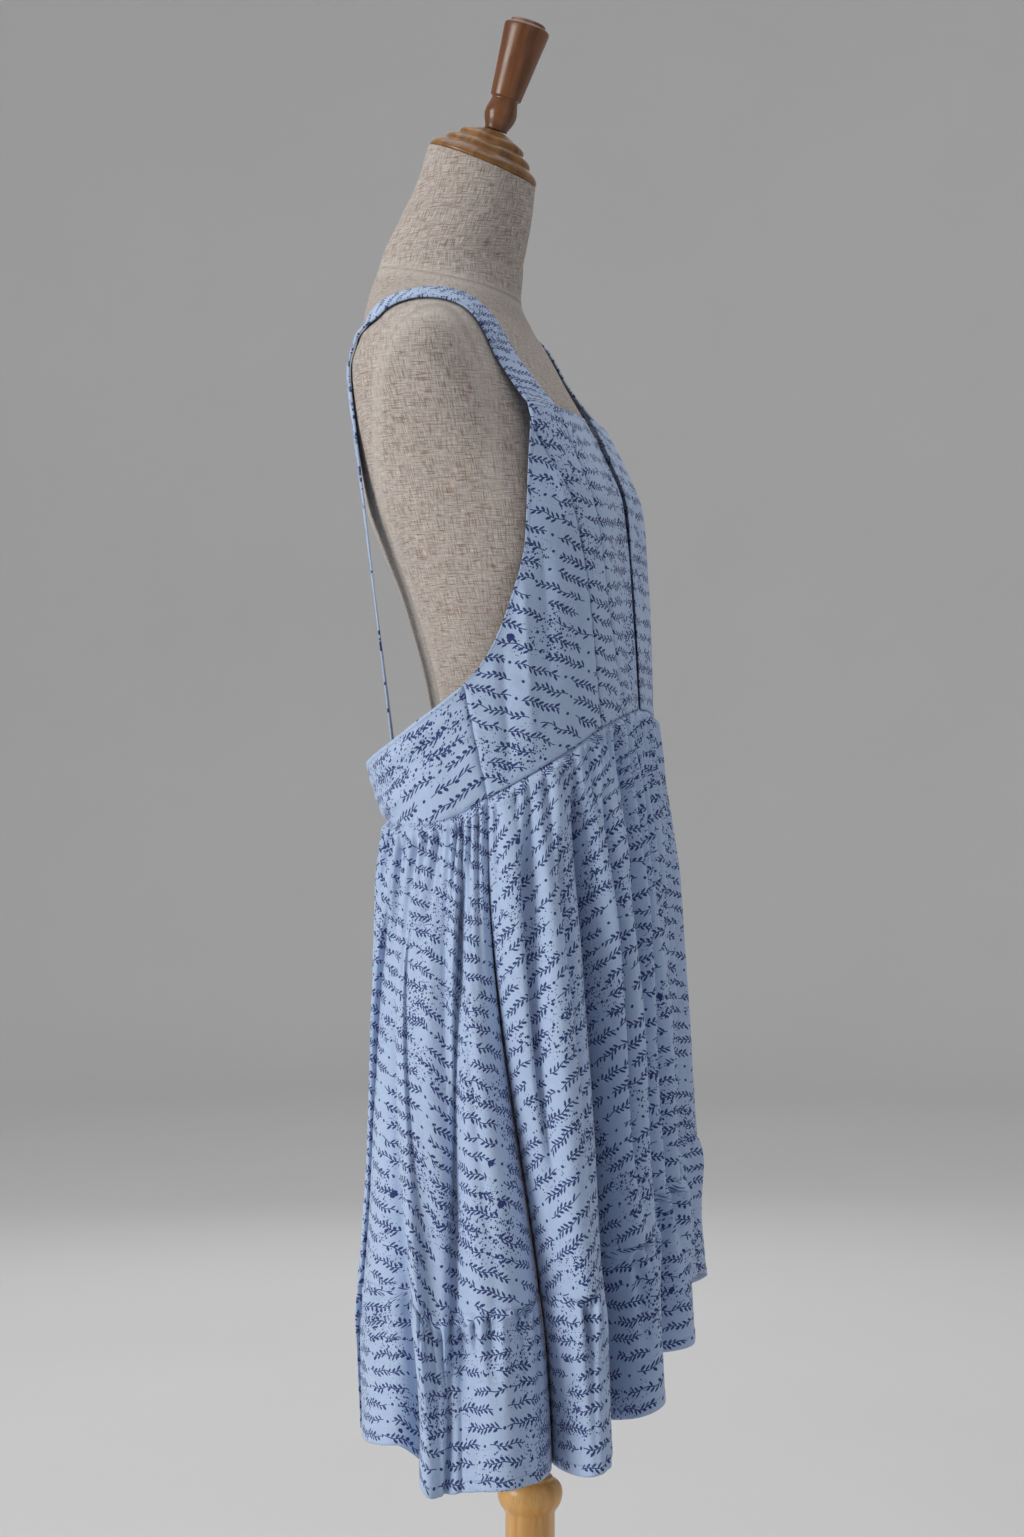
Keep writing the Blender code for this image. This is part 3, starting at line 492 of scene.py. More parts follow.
# Sprigs: a thin waving stem 29 to 43 mm long, then a gap with a round berry in it.
sprig_at = calc(tree, "DIVIDE", shifted, SPRIG_PITCH_MM)
sprig, sprig_share = cells(tree, sprig_at)
sprig_luck = cell_luck(tree, sprig, row)
sprig_end = ramp(tree, sprig_luck, 0.0, 1.0, 0.62, 0.92)
in_sprig = calc(tree, "LESS_THAN", sprig_share, sprig_end)
curl_at = calc(tree, "MULTIPLY", shifted, 2 * math.pi / STEM_WAVE_LENGTH_MM)
curl = calc(tree, "SINE", curl_at)
from_stem = calc(tree, "MULTIPLY_ADD", curl, -STEM_WAVE_MM, above)
beside = calc(tree, "ABSOLUTE", from_stem)
stem = ramp(tree, beside, 0.33, 0.52, 1.0, 0.0)

# Leaves: slender pointed lenses on both sides of the stem, 3 to 5 mm long, that lean along it. Those
# above and below are half a pitch apart, a few are missing, and none grows past its stem's end.
upper = calc(tree, "GREATER_THAN", from_stem, 0.0)
leaned = calc(tree, "MULTIPLY_ADD", beside, -0.75, shifted)
leaf_from = calc(tree, "MULTIPLY", leaned, 1 / LEAF_PITCH_MM)
leaf_at = calc(tree, "MULTIPLY_ADD", upper, 0.5, leaf_from)
leaf, leaf_share = cells(tree, leaf_at)
leaf_luck = cell_luck(tree, leaf, row, upper)
lucks = add(tree, "SeparateColor", {0: leaf_luck.outputs["Color"]})
shown = calc(tree, "GREATER_THAN", lucks.outputs[0], 0.10)
half_length = ramp(tree, lucks.outputs[1], 0.0, 1.0, 1.45, 2.5)
half_width = ramp(tree, lucks.outputs[2], 0.0, 1.0, 0.25, 0.36)
reached = calc(tree, "DIVIDE", beside, half_length)
up_share = calc(tree, "SUBTRACT", reached, 1.0)
rounded = calc(tree, "MULTIPLY", up_share, up_share)
off_middle = calc(tree, "SUBTRACT", leaf_share, 0.5)
off_rib = calc(tree, "ABSOLUTE", off_middle)
across_share = calc(tree, "DIVIDE", off_rib, half_width)
spent = calc(tree, "ADD", rounded, across_share)
leafy = ramp(tree, spent, 0.85, 1.10, 1.0, 0.0)
leaf_foot = calc(tree, "MULTIPLY", leaf, LEAF_PITCH_MM / SPRIG_PITCH_MM)
foot_sprig, foot_share = cells(tree, leaf_foot)
foot_luck = cell_luck(tree, foot_sprig, row)
foot_end = ramp(tree, foot_luck, 0.0, 1.0, 0.54, 0.84)
has_foot = calc(tree, "LESS_THAN", foot_share, foot_end)
grown = calc(tree, "MULTIPLY", leafy, shown)
leaves = calc(tree, "MULTIPLY", grown, has_foot)
stems = calc(tree, "MULTIPLY", stem, in_sprig)
growing = calc(tree, "MAXIMUM", leaves, stems)
berry_middle = calc(tree, "MULTIPLY_ADD", sprig_end, 0.5, 0.5)
to_berry = calc(tree, "SUBTRACT", sprig_share, berry_middle)
to_berry_mm = calc(tree, "MULTIPLY", to_berry, SPRIG_PITCH_MM)
berry_spot = add(tree, "CombineXYZ", {0: to_berry_mm, 1: from_stem})
berry_reach = add(tree, "VectorMath", {0: berry_spot}, operation="LENGTH")
berry = ramp(tree, berry_reach.outputs["Value"], 1.15, 1.40, 1.0, 0.0)
line = calc(tree, "MAXIMUM", growing, berry)

# Spatter: dots 0.3 to 2 mm across that lie thick in some places and thin in others.
drift = add(tree, "TexNoise", {"Vector": flat_mm, "Scale": 0.020, "Detail": 3.0})
thick = ramp(tree, drift, 0.45, 0.58, 0.06, 0.68)
specks = add(tree, "TexVoronoi", {"Vector": flat_mm, "Scale": 0.56, "Randomness": 1.0})
speck_luck = add(tree, "SeparateColor", {0: specks.outputs["Color"]})
speck_small = calc(tree, "POWER", speck_luck.outputs[0], 1.6)
speck_size = calc(tree, "MULTIPLY", speck_small, thick)
speck_ink = calc(tree, "LESS_THAN", specks.outputs["Distance"], speck_size)

# Blots: 2 to 7 mm across and about 30 mm apart, with a slightly ragged edge.
ragged = add(tree, "TexNoise", {"Vector": flat_mm, "Scale": 0.5, "Detail": 2.0})
blots = add(tree, "TexVoronoi", {"Vector": flat_mm, "Scale": 0.030, "Randomness": 1.0})
blot_luck = add(tree, "SeparateColor", {0: blots.outputs["Color"]})
blot_size = ramp(tree, blot_luck.outputs[1], 0.30, 1.0, 0.05, 0.135)
blot_edge = calc(tree, "MULTIPLY_ADD", ragged, 0.05, blots.outputs["Distance"])
blot_ink = calc(tree, "LESS_THAN", blot_edge, blot_size)

inks = calc(tree, "MAXIMUM", line, speck_ink)
ink = calc(tree, "MAXIMUM", inks, blot_ink)

# The ground: threads 0.5 mm apart, a little uneven in tone, as plain-woven viscose is.
warp = stretched_noise(tree, flat_mm, (2.0, 0.06, 1), {"Scale": 1.0, "Detail": 2.0})
weft = stretched_noise(tree, flat_mm, (0.06, 2.0, 1), {"Scale": 1.0, "Detail": 2.0})
woven = calc(tree, "ADD", warp, weft)
tone = ramp(tree, woven, 0.75, 1.25, 0.0, 1.0)
ground = blend(tree, tone, linear(PALE_BLUE_SHADE), linear(PALE_BLUE))
strength = ramp(tree, woven, 0.6, 1.3, 1.0, 0.90)
laid = calc(tree, "MULTIPLY", ink, strength)
coloured = blend(tree, laid, ground, linear(INK_BLUE))

# Stitching: a map called stitch holds the distance along a sewn edge and in from it. The whole stitched line
# is painted a little darker, as painted shade in the groove it pulls, and each stitch is sunk a little into
# the cloth.
STITCH_PITCH = 0.003
STITCH_IN = 0.0035

sewing = add(tree, "UVMap", uv_map="stitch")
sewing_at = add(tree, "SeparateXYZ", {0: sewing})
from_line = calc(tree, "SUBTRACT", sewing_at.outputs[1], STITCH_IN)
off_stitch = calc(tree, "ABSOLUTE", from_line)
on_line = ramp(tree, off_stitch, 0.0003, 0.0010, 1.0, 0.0)
stitch_at = calc(tree, "MULTIPLY", sewing_at.outputs[0], 1 / STITCH_PITCH)
stitch_share = calc(tree, "FRACT", stitch_at)
stitch_on = calc(tree, "LESS_THAN", stitch_share, 0.72)
dimple = calc(tree, "MULTIPLY", on_line, stitch_on)
# Painted shade: the whole stitched line, gaps between stitches too, is darkened towards 5D6C98.
shadow = calc(tree, "MULTIPLY", on_line, 0.22)
sewn = blend(tree, shadow, coloured, linear("5D6C98"))
creep = add(tree, "TexNoise", {"Vector": flat_mm, "Scale": 0.11, "Detail": 3.0, "Roughness": 0.55})
creased = calc(tree, "MULTIPLY_ADD", creep, 3.0, woven)
stitched = calc(tree, "MULTIPLY_ADD", dimple, -1.6, creased)
bump = add(tree, "Bump", {"Height": stitched, "Strength": 0.35, "Distance": 0.0007})
feed(tree, shader, {"Base Color": sewn, "Roughness": 0.82, "Sheen Weight": 0.18, "Sheen Roughness": 0.5,
                    "Specular IOR Level": 0.25, "Normal": bump})

SHELL = 0.0009


def cloth(name, node, columns, rows, place, thickness=SHELL):
    """A cut piece of the dress as a fine shell on place(u, v)."""
    mesh = sheet_mesh(name, columns, rows, place)
    mesh.materials.append(printed)
    mesh.shade_smooth()
    piece = new_object(name, mesh)
    wall = piece.modifiers.new("cloth_thickness", "SOLIDIFY")
    wall.thickness = thickness
    wall.offset = -1.0
    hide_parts(node)
    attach(piece, "root")


def creases(across, down, table):
    """Soft troughs and ridges along straight lines.

    Each row: where it starts across and down, where it ends, its half width and its height."""
    total = np.zeros_like(across)
    for start_x, start_y, end_x, end_y, half_width, height in table:
        run = np.array([end_x - start_x, end_y - start_y])
        length = math.hypot(*run)
        along = ((across - start_x) * run[0] + (down - start_y) * run[1]) / length
        off = ((across - start_x) * run[1] - (down - start_y) * run[0]) / length
        share = along / length
        fade = eased(share / 0.25) * eased((1 - share) / 0.35)
        total += 2.5 * height * fade * np.exp(-np.abs(off / half_width) ** 1.4)
    return total


# The bodice: two centre fronts that lap, a strip on each side that carries the strap's line down to the
# waist, a side panel with the armhole's edge, and one deep band across the back. Cut on level or
# leaning grain, sewn with plain seams and turned under along every free edge.

CLOTH = 0.0015
GARMENT_CENTRE = 0.030
BIB_TOP = 1.245

# height, half_width, front, back, front_power
BODICE = [
    (0.880, 0.147, -0.1050, 0.1120, 2.3), (0.903, 0.147, -0.1040, 0.1200, 2.3),
    (0.922, 0.147, -0.1030, 0.1340, 2.3), (0.950, 0.146, -0.1010, 0.1390, 2.4),
    (1.000, 0.146, -0.0985, 0.1380, 2.5), (1.050, 0.147, -0.0955, 0.1360, 2.7),
    (1.120, 0.148, -0.0900, 0.1340, 3.0), (1.170, 0.149, -0.0850, 0.1320, 3.1),
    (1.210, 0.150, -0.0690, 0.1300, 3.1), (1.250, 0.153, -0.0475, 0.1280, 3.2),
]
# angle, height
WAIST_SEAM = [
    (0, 0.9945), (6, 0.9942), (20, 0.990), (37, 0.979), (51, 0.960), (64, 0.940), (78, 0.920), (90, 0.903),
    (105, 0.895), (135, 0.899), (180, 0.903),
]
# angle, height, from the wearer's right side seam round the back to the left one
BAND_TOP = [
    (86, 1.012), (98, 0.990), (119, 0.963), (140, 0.951), (160, 0.9475), (180, 0.952), (200, 0.961),
    (220, 0.970), (241, 0.983), (262, 1.000), (274, 1.014),
]
# height, angle
INNER_STRAP_SEAM = [
    (0.990, 21.0), (1.022, 25.0), (1.064, 29.6), (1.106, 33.0), (1.147, 36.2), (1.210, 45.0), (1.245, 49.0),
]
OUTER_STRAP_SEAM = [
    (0.979, 37.0), (1.010, 38.5), (1.083, 42.5), (1.120, 45.0), (1.170, 50.5), (1.228, 63.3), (1.245, 65.0),
]
ARMHOLE_EDGE = [
    (1.012, 86.0), (1.026, 81.0), (1.044, 76.6), (1.080, 71.2), (1.129, 66.6), (1.188, 65.6), (1.228, 64.2),
]
SIDE_SEAM_TOP = 86.0
SIDE_SEAM_FOOT = 78.0
SIDE_PANEL_TOP = 1.228
INNER_SEAM_FOOT = 20.0
OUTER_SEAM_FOOT = 37.0
BODICE_ROWS = [0.0, 0.065, 0.15, 0.25, 0.36, 0.48, 0.61, 0.74, 0.87, 1.0]
BAND_ROWS = 3
LEFT_FULLNESS = 0.005
BACK_POWER = 2.0
# The bodice's mean radii, which turn angles into distances across the flat cut
FRONT_RADIUS = 0.135
SIDE_RADIUS = 0.140
BACK_RADIUS = 0.125


def left_fullness(angle):
    """The wearer's left side stands out a little more than the right one."""
    fuller = (angle > 0) & (angle < SIDE_SEAM_FOOT)
    return np.where(fuller, LEFT_FULLNESS * np.sin(np.pi * angle / SIDE_SEAM_FOOT), 0.0)


def bodice_face(angle, height, out=0.0):
    """Points on the bodice's outer face, moved out by a distance."""
    half_width, front, back, front_power = read_table(BODICE, height).T
    turn = np.radians(angle)
    reach = out + left_fullness(angle) + ring_radius(
        turn, half_width, GARMENT_CENTRE - front, back - GARMENT_CENTRE, front_power, BACK_POWER)
    return reach * np.sin(turn), GARMENT_CENTRE - reach * np.cos(turn), height


def waist_height(angle):
    """The waist seam's height: lower at the sides and behind than in front."""
    angle = np.mod(angle, 360.0)
    return read_table(WAIST_SEAM, np.minimum(angle, 360 - angle))[..., 0]


def mixed(a, b, share):
    return a + (b - a) * share


def strap_seam_angle(seam_line, foot_angle, share):
    """A strap panel's seam at a share of the way from the bib's top down to the waist."""
    foot = waist_height(np.full_like(share, foot_angle))
    return read_table(seam_line, mixed(BIB_TOP, foot, share))[..., 0]


def print_map(across, up, turn, shift):
    """The flat cut's place under the print, its rows turned by some degrees."""
    turn = math.radians(turn)
    along_row = across * math.cos(turn) + up * math.sin(turn) + shift
    return along_row, up * math.cos(turn) - across * math.sin(turn)


def seam_pucker(along, distance, pitch, depth):
    """The small pulls that a sewn line leaves in the cloth beside it."""
    pull = np.sin(along * 2 * np.pi / pitch + 1.7 * np.sin(along * 31.0))
    return depth * pull * np.exp(-(distance / 0.006) ** 2) - 0.0020 * np.exp(-(distance / 0.0019) ** 2)


LAP_ANGLE = -4.4
LAP_OVER = 4.0
UNSTITCHED = 0.05


def front_right_face(u, v):
    """The wearer's right front, from its strap seam to the edge that lies under the lap."""
    outer = -strap_seam_angle(INNER_STRAP_SEAM, INNER_SEAM_FOOT, v)
    angle = mixed(outer, LAP_ANGLE + LAP_OVER, u)
    height = mixed(BIB_TOP, waist_height(angle), v)
    across, down = np.radians(angle) * FRONT_RADIUS, BIB_TOP - height
    width = np.radians(LAP_ANGLE - outer) * FRONT_RADIUS
    lift = creases(across, down, (
        (-0.030, 0.030, -0.045, 0.150, 0.006, -0.0012), (-0.020, 0.080, -0.026, 0.240, 0.005, 0.0010),
        (-0.040, 0.160, -0.032, 0.250, 0.006, -0.0011), (-0.016, 0.010, -0.022, 0.100, 0.004, -0.0008),
    ))
    lift += seam_pucker(down, u * width, 0.021, 0.0004)
    lift -= 0.0012 * eased((angle - LAP_ANGLE + 1.5) / 3.0)
    return bodice_face(angle, height, lift), {
        "print": print_map(across, -down, 2, 0.31), "stitch": (across, down)}


def front_left_face(u, v):
    """The wearer's left front, from the lap's free edge, which gapes towards the top, to its strap seam."""
    outer = strap_seam_angle(INNER_STRAP_SEAM, INNER_SEAM_FOOT, v)
    angle = mixed(LAP_ANGLE + eased(v), outer, u)
    height = mixed(BIB_TOP - 0.0004, waist_height(angle), v)
    across, down = np.radians(angle) * FRONT_RADIUS, BIB_TOP - height
    width = np.radians(outer - LAP_ANGLE) * FRONT_RADIUS
    lift = creases(across, down, (
        (0.030, 0.020, 0.042, 0.160, 0.006, -0.0012), (0.020, 0.090, 0.022, 0.240, 0.006, 0.0010),
        (0.040, 0.150, 0.036, 0.250, 0.006, -0.0010),
    ))
    lift += seam_pucker(down, (1 - u) * width, 0.019, 0.0004)
    from_lap = u * width
    gape = mixed(0.0032, 0.0010, eased(v)) + 0.0016 * eased(1 - v / 0.25)
    lift += eased((0.50 - u) / 0.36) * gape
    lift += 0.0006 * np.exp(-(from_lap / 0.004) ** 2) - 0.0007 * np.exp(-((from_lap - 0.006) / 0.0012) ** 2)
    edge = np.minimum(from_lap + 0.0006, down)
    return bodice_face(angle, height, lift), {
        "print": print_map(across, -down, -2, 0.77),
        "stitch": (np.where(from_lap < down, down, across), edge)}


cloth("front_right_cloth", "front_right", 50, 110, front_right_face)
cloth("front_left_cloth", "front_left", 60, 110, front_left_face)


def strap_panel_face(side):
    """The strip below a strap, between its two seams."""
    def place(u, v):
        inner = strap_seam_angle(INNER_STRAP_SEAM, INNER_SEAM_FOOT, v)
        outer = strap_seam_angle(OUTER_STRAP_SEAM, OUTER_SEAM_FOOT, v)
        share = u if side > 0 else 1 - u
        angle = mixed(inner, outer, share)
        height = mixed(BIB_TOP, waist_height(angle), v)
        down = BIB_TOP - height
        width = np.radians(outer - inner) * FRONT_RADIUS
        lift = seam_pucker(down, share * width, 0.018, 0.0004)
        lift += seam_pucker(down + 0.007, (1 - share) * width, 0.020, 0.0004)
        across = side * (share - 0.5) * width
        return bodice_face(side * angle, height, lift), {
            "print": print_map(across, -down, 14 * side, 0.12 + side), "stitch": (across, down)}
    return place


def side_panel_face(side):
    """The side of the bodice: the armhole's edge above, and the side seam beside the band below."""
    rows = len(BODICE_ROWS) - 2
    armhole = 1 - BAND_ROWS / rows
    seam_angle = SIDE_SEAM_TOP if side < 0 else 360 - SIDE_SEAM_TOP
    band_top = float(read_table(BAND_TOP, np.array([seam_angle]))[0, 0])
    foot = float(waist_height(np.array([SIDE_SEAM_FOOT]))[0])

    def place(u, v):
        outer_share = u if side > 0 else 1 - u
        share = np.interp(v * rows + 1, np.arange(rows + 2), BODICE_ROWS)
        inner = strap_seam_angle(OUTER_STRAP_SEAM, OUTER_SEAM_FOOT, share)
        inner_height = mixed(BIB_TOP, waist_height(inner), share)
        on_armhole = v < armhole
        down_seam = np.clip((v - armhole) / (1 - armhole), 0, 1)
        outer_height = np.where(on_armhole, mixed(SIDE_PANEL_TOP, band_top, v / armhole),
                                mixed(band_top, foot, down_seam))
        outer = np.where(on_armhole, read_table(ARMHOLE_EDGE, outer_height)[:, 0],
                         mixed(SIDE_SEAM_TOP, SIDE_SEAM_FOOT, down_seam))
        angle = mixed(inner, outer, outer_share)
        chord = mixed(waist_height(np.full_like(v, OUTER_SEAM_FOOT)), foot, outer_share)
        seam_line = waist_height(mixed(OUTER_SEAM_FOOT, SIDE_SEAM_FOOT, outer_share))
        height = mixed(inner_height, outer_height, outer_share) + eased(v) * (seam_line - chord)
        across, down = np.radians(angle) * SIDE_RADIUS, BIB_TOP - height
        width = np.radians(np.maximum(outer - inner, 0.5)) * SIDE_RADIUS
        from_edge = (1 - outer_share) * width + 0.0004
        lift = creases(across, down, (
            (0.128, 0.080, 0.110, 0.230, 0.007, -0.0016), (0.150, 0.110, 0.140, 0.250, 0.006, -0.0014),
            (0.165, 0.130, 0.155, 0.300, 0.006, 0.0013), (0.180, 0.190, 0.172, 0.320, 0.006, -0.0014),
            (0.140, 0.040, 0.122, 0.130, 0.005, 0.0010), (0.195, 0.215, 0.150, 0.250, 0.006, 0.0010),
            (0.120, 0.160, 0.118, 0.280, 0.005, -0.0010),
        ))
        lift += seam_pucker(down, outer_share * width, 0.019, 0.0004)
        lift += np.where(on_armhole, 0.0006 * np.exp(-(from_edge / 0.005) ** 2),
                         seam_pucker(down, from_edge, 0.021, 0.0005))
        edge = np.where(on_armhole, from_edge, UNSTITCHED)
        return bodice_face(side * angle, height, lift), {
            "print": print_map(side * across, -down, 17 * side, 0.53 * side), "stitch": (down, edge)}
    return place


for word, side in (("right", -1), ("left", 1)):
    cloth(f"strap_panel_{word}_cloth", f"strap_panel_{word}", 16, 110, strap_panel_face(side))
    cloth(f"side_panel_{word}_cloth", f"side_panel_{word}", 70, 120, side_panel_face(side))


def back_band_face(u, v):
    """The band, from the wearer's right side seam round the back to the left one."""
    top = mixed(SIDE_SEAM_TOP, 360 - SIDE_SEAM_TOP, u)
    low = mixed(SIDE_SEAM_FOOT, 360 - SIDE_SEAM_FOOT, u)
    band_top = read_table(BAND_TOP, 360 - top)[:, 0]
    height = mixed(band_top, waist_height(low), v)
    angle = mixed(top, low, v)
    across, down = np.radians(angle - 180) * BACK_RADIUS, band_top - height
    depth = band_top - waist_height(low)
    lift = creases(across, down, (
        (-0.20, 0.030, -0.06, 0.026, 0.008, -0.0014), (-0.15, 0.045, 0.02, 0.040, 0.007, 0.0012),
        (0.03, 0.022, 0.20, 0.034, 0.008, -0.0014), (0.06, 0.042, 0.17, 0.050, 0.006, 0.0012),
        (0.17, 0.010, 0.21, 0.060, 0.006, -0.0012), (-0.21, 0.012, -0.17, 0.055, 0.006, -0.0012),
        (0.10, 0.012, 0.20, 0.016, 0.005, 0.0009),
    ))
    lift += 0.0007 * np.exp(-(down / 0.0045) ** 2) + seam_pucker(across, (1 - v) * depth, 0.017, 0.0006)
    ends = np.minimum(u, 1 - u) * 0.43
    lift += seam_pucker(down, ends, 0.018, 0.0004)
    return bodice_face(angle, height, lift), {
        "print": (across + 0.9, -down - 0.001), "stitch": (across, down)}


cloth("back_band_cloth", "back_band", 200, 44, back_band_face)


# The straps: two flat folded strips, sewn to the bib, that lie over the shoulders and hang free behind
# down to the band, where their ends are tucked inside its edge and sewn.

STRAP_THICKNESS = 0.0020
STRAP_TUCK = 0.028
STRAP_RUN = 0.62
SHOULDER_PIVOT = (0.052, 1.245)
# share, middle, width, swing, clear
STRAP_OVER_SHOULDER = [
    (0.00, 0.1025, 0.0360, 0, 0.0060), (0.08, 0.1055, 0.0340, 17, 0.0036), (0.20, 0.1090, 0.0310, 42, 0.0026),
    (0.32, 0.1110, 0.0285, 72, 0.0024), (0.44, 0.1120, 0.0270, 104, 0.0024),
    (0.56, 0.1115, 0.0270, 138, 0.0026), (0.67, 0.1105, 0.0270, 172, 0.0024),
]
STRAP_BACK_WIDTH = 0.027
STRAP_FOOT_ANGLE = 122.5
STRAP_BEND_ABOVE = 0.006
STRAP_BEND_SHARE = 33 / 36
STRAP_TURN = 14.0


def one_bodice_point(angle, height, out=0.0):
    """One point on the bodice's outer face."""
    point = bodice_face(np.array([float(angle)]), np.array([float(height)]), out)
    return Vector([float(part[0]) for part in point])


def strap_face(side):
    """A strap from the bib over the shoulder, where it lies on the form, and down to the band's inside.

    It is worked out for the wearer's left side and mirrored, apart from its foot's height."""
    leaving = STRAP_OVER_SHOULDER[-1][0]
    foot_angle = STRAP_FOOT_ANGLE if side < 0 else 360 - STRAP_FOOT_ANGLE
    band_edge = float(read_table(BAND_TOP, np.array([float(foot_angle)]))[0, 0])
    inside = -CLOTH - 0.0012

    def on_form(share, across):
        middle, width, swing, clear = read_table(STRAP_OVER_SHOULDER, np.array([share]))[0]
        turn = math.radians(swing)
        pivot = Vector((middle + across * width, *SHOULDER_PIVOT))
        hit, normal, _, _ = torso_surface.ray_cast(pivot, Vector((0, -math.cos(turn), math.sin(turn))))
        return hit + normal * (clear + STRAP_THICKNESS - SHELL)

    def at_bib(across):
        angle = mixed(INNER_STRAP_SEAM[-1][1], OUTER_STRAP_SEAM[-1][1], 0.5 + across)
        start = one_bodice_point(side * angle, BIB_TOP + 0.0006)
        return Vector((side * start.x, start.y, start.z))

    def at_band(across):
        edge_angle = STRAP_FOOT_ANGLE - math.degrees(STRAP_BACK_WIDTH / 2 / SIDE_RADIUS)
        outer = one_bodice_point(edge_angle, band_edge + STRAP_BEND_ABOVE, inside - 0.0003)
        reach = (across - 0.5) * STRAP_BACK_WIDTH
        turn = math.radians(STRAP_TURN)
        return outer + Vector((reach * math.cos(turn), -reach * math.sin(turn), 0))

    def one_point(u, v):
        across = (0.5 - u) * side
        if v <= leaving:
            point = at_bib(across).lerp(on_form(v, across), float(eased(v / STRAP_OVER_SHOULDER[2][0])))
        elif v <= STRAP_BEND_SHARE:
            hanging = (v - leaving) / (STRAP_BEND_SHARE - leaving)
            point = on_form(leaving, across).lerp(at_band(across), hanging)
        else:
            end_angle = STRAP_FOOT_ANGLE - math.degrees(across * STRAP_BACK_WIDTH / SIDE_RADIUS)
            foot = one_bodice_point(end_angle, band_edge - STRAP_TUCK, inside)
            point = at_band(across).lerp(foot, (v - STRAP_BEND_SHARE) / (1 - STRAP_BEND_SHARE))
        return side * point.x, point.y, point.z

    def place(u, v):
        points = np.array([one_point(a, b) for a, b in zip(u, v)])
        along = v * STRAP_RUN
        edge = np.minimum(u, 1 - u) * 0.032
        return tuple(points.T), {
            "print": print_map((u - 0.5) * 0.030, -along, 24 * side, 0.2 * side),
            "stitch": (along, edge + 0.0008)}
    return place


for word, side in (("right", -1), ("left", 1)):
    cloth(f"strap_{word}_cloth", f"strap_{word}", 8, 144, strap_face(side),
          thickness=0.0016)


# The skirt: a front and a back panel, each cut flared, gathered on its top edge and sewn to the bodice.
# The cloth falls from the gathers in deep uneven folds, and hangs a little shorter in some than in others.

SKIRT_DROP = 0.400
RUFFLE_DROP = 0.130
LEFT_POWER = 2.3
FULLNESS_DROP = 0.10
# drop, half_width, front, back, right_power, fold
SKIRT = [
    (0.000, 0.1460, -0.0985, 0.1185, 2.30, 0.0000),
    (0.015, 0.1500, -0.1005, 0.1215, 2.30, 0.0010),
    (0.035, 0.1580, -0.1030, 0.1240, 2.30, 0.0028),
    (0.065, 0.1680, -0.1080, 0.1255, 2.35, 0.0050),
    (0.105, 0.1800, -0.1125, 0.1250, 2.45, 0.0075),
    (0.165, 0.1950, -0.1165, 0.1220, 2.60, 0.0115),
    (0.240, 0.2120, -0.1165, 0.1175, 2.75, 0.0165),
    (0.320, 0.2300, -0.1170, 0.1160, 2.90, 0.0205),
    (0.400, 0.2465, -0.1180, 0.1155, 3.00, 0.0245),
    (0.530, 0.2630, -0.1180, 0.1050, 3.10, 0.0290),
]
# angle, share of the drop by which the cloth hangs shorter
HITCH = [
    (0, 0.050), (28, 0.085), (60, 0.045), (110, 0.015), (170, 0.030), (205, 0.075), (245, 0.085),
    (266, 0.088), (275, 0.012), (285, 0.0), (302, -0.028), (317, 0.0), (338, 0.030), (360, 0.050),
]
# top_angle, hem_angle, depth, ridge
FRONT_VALLEYS = [
    (-78, -64.0, 1.05, 1.60), (-51, -51.5, 1.05, 1.65), (-30, -33.0, 0.90, 1.40), (-10, -13.0, 0.70, 0.60),
    (11, 9.0, 0.90, 0.75), (31, 30.0, 1.05, 0.85), (53, 49.0, 1.10, 1.00), (78, 66.0, 1.15, 0.0),
]
BACK_VALLEYS = [
    (78, 66, 1.15, 0.75), (98, 92, 0.90, 0.90), (117, 115, 0.90, 0.80), (138, 138, 0.80, 0.70),
    (160, 161, 0.70, 0.65), (183, 184, 0.60, 0.60), (206, 208, 0.70, 0.65), (227, 231, 0.60, 0.70),
    (248, 270, 1.15, 0.25), (270, 279, 0.15, 0.55), (282, 296, 1.05, 0.0),
]


def skirt_face(valleys, along, drop, out=0.0):
    """Points on a skirt panel's outer face. along counts folds from the panel's first valley."""
    valleys = np.array(valleys, float)
    half_width, front, back, right_power, fold = read_table(SKIRT, drop).T
    first = np.clip(along.astype(int), 0, len(valleys) - 2)
    share = along - first
    here, following = valleys[first].T, valleys[first + 1].T
    lean = eased(drop / (SKIRT_DROP + RUFFLE_DROP))
    angle = mixed(mixed(here[0], here[1], lean), mixed(following[0], following[1], lean), share)
    turn = np.radians(angle)
    hollow = mixed(here[2], following[2], eased(share))
    crest = np.maximum(0.0, np.sin(np.pi * share)) ** 0.75
    out = out + left_fullness(angle) * (1 - eased(drop / FULLNESS_DROP))
    reach = out + fold * ((hollow + here[3]) * crest - hollow) + ring_radius(
        turn, half_width, GARMENT_CENTRE - front, back - GARMENT_CENTRE,
        np.where(np.sin(turn) > 0, LEFT_POWER, right_power), BACK_POWER)
    hitch = read_table(HITCH, np.mod(angle, 360.0))[..., 0]
    height = waist_height(angle) - 0.0006 - drop * (1 - hitch)
    return reach * np.sin(turn), GARMENT_CENTRE - reach * np.cos(turn), height


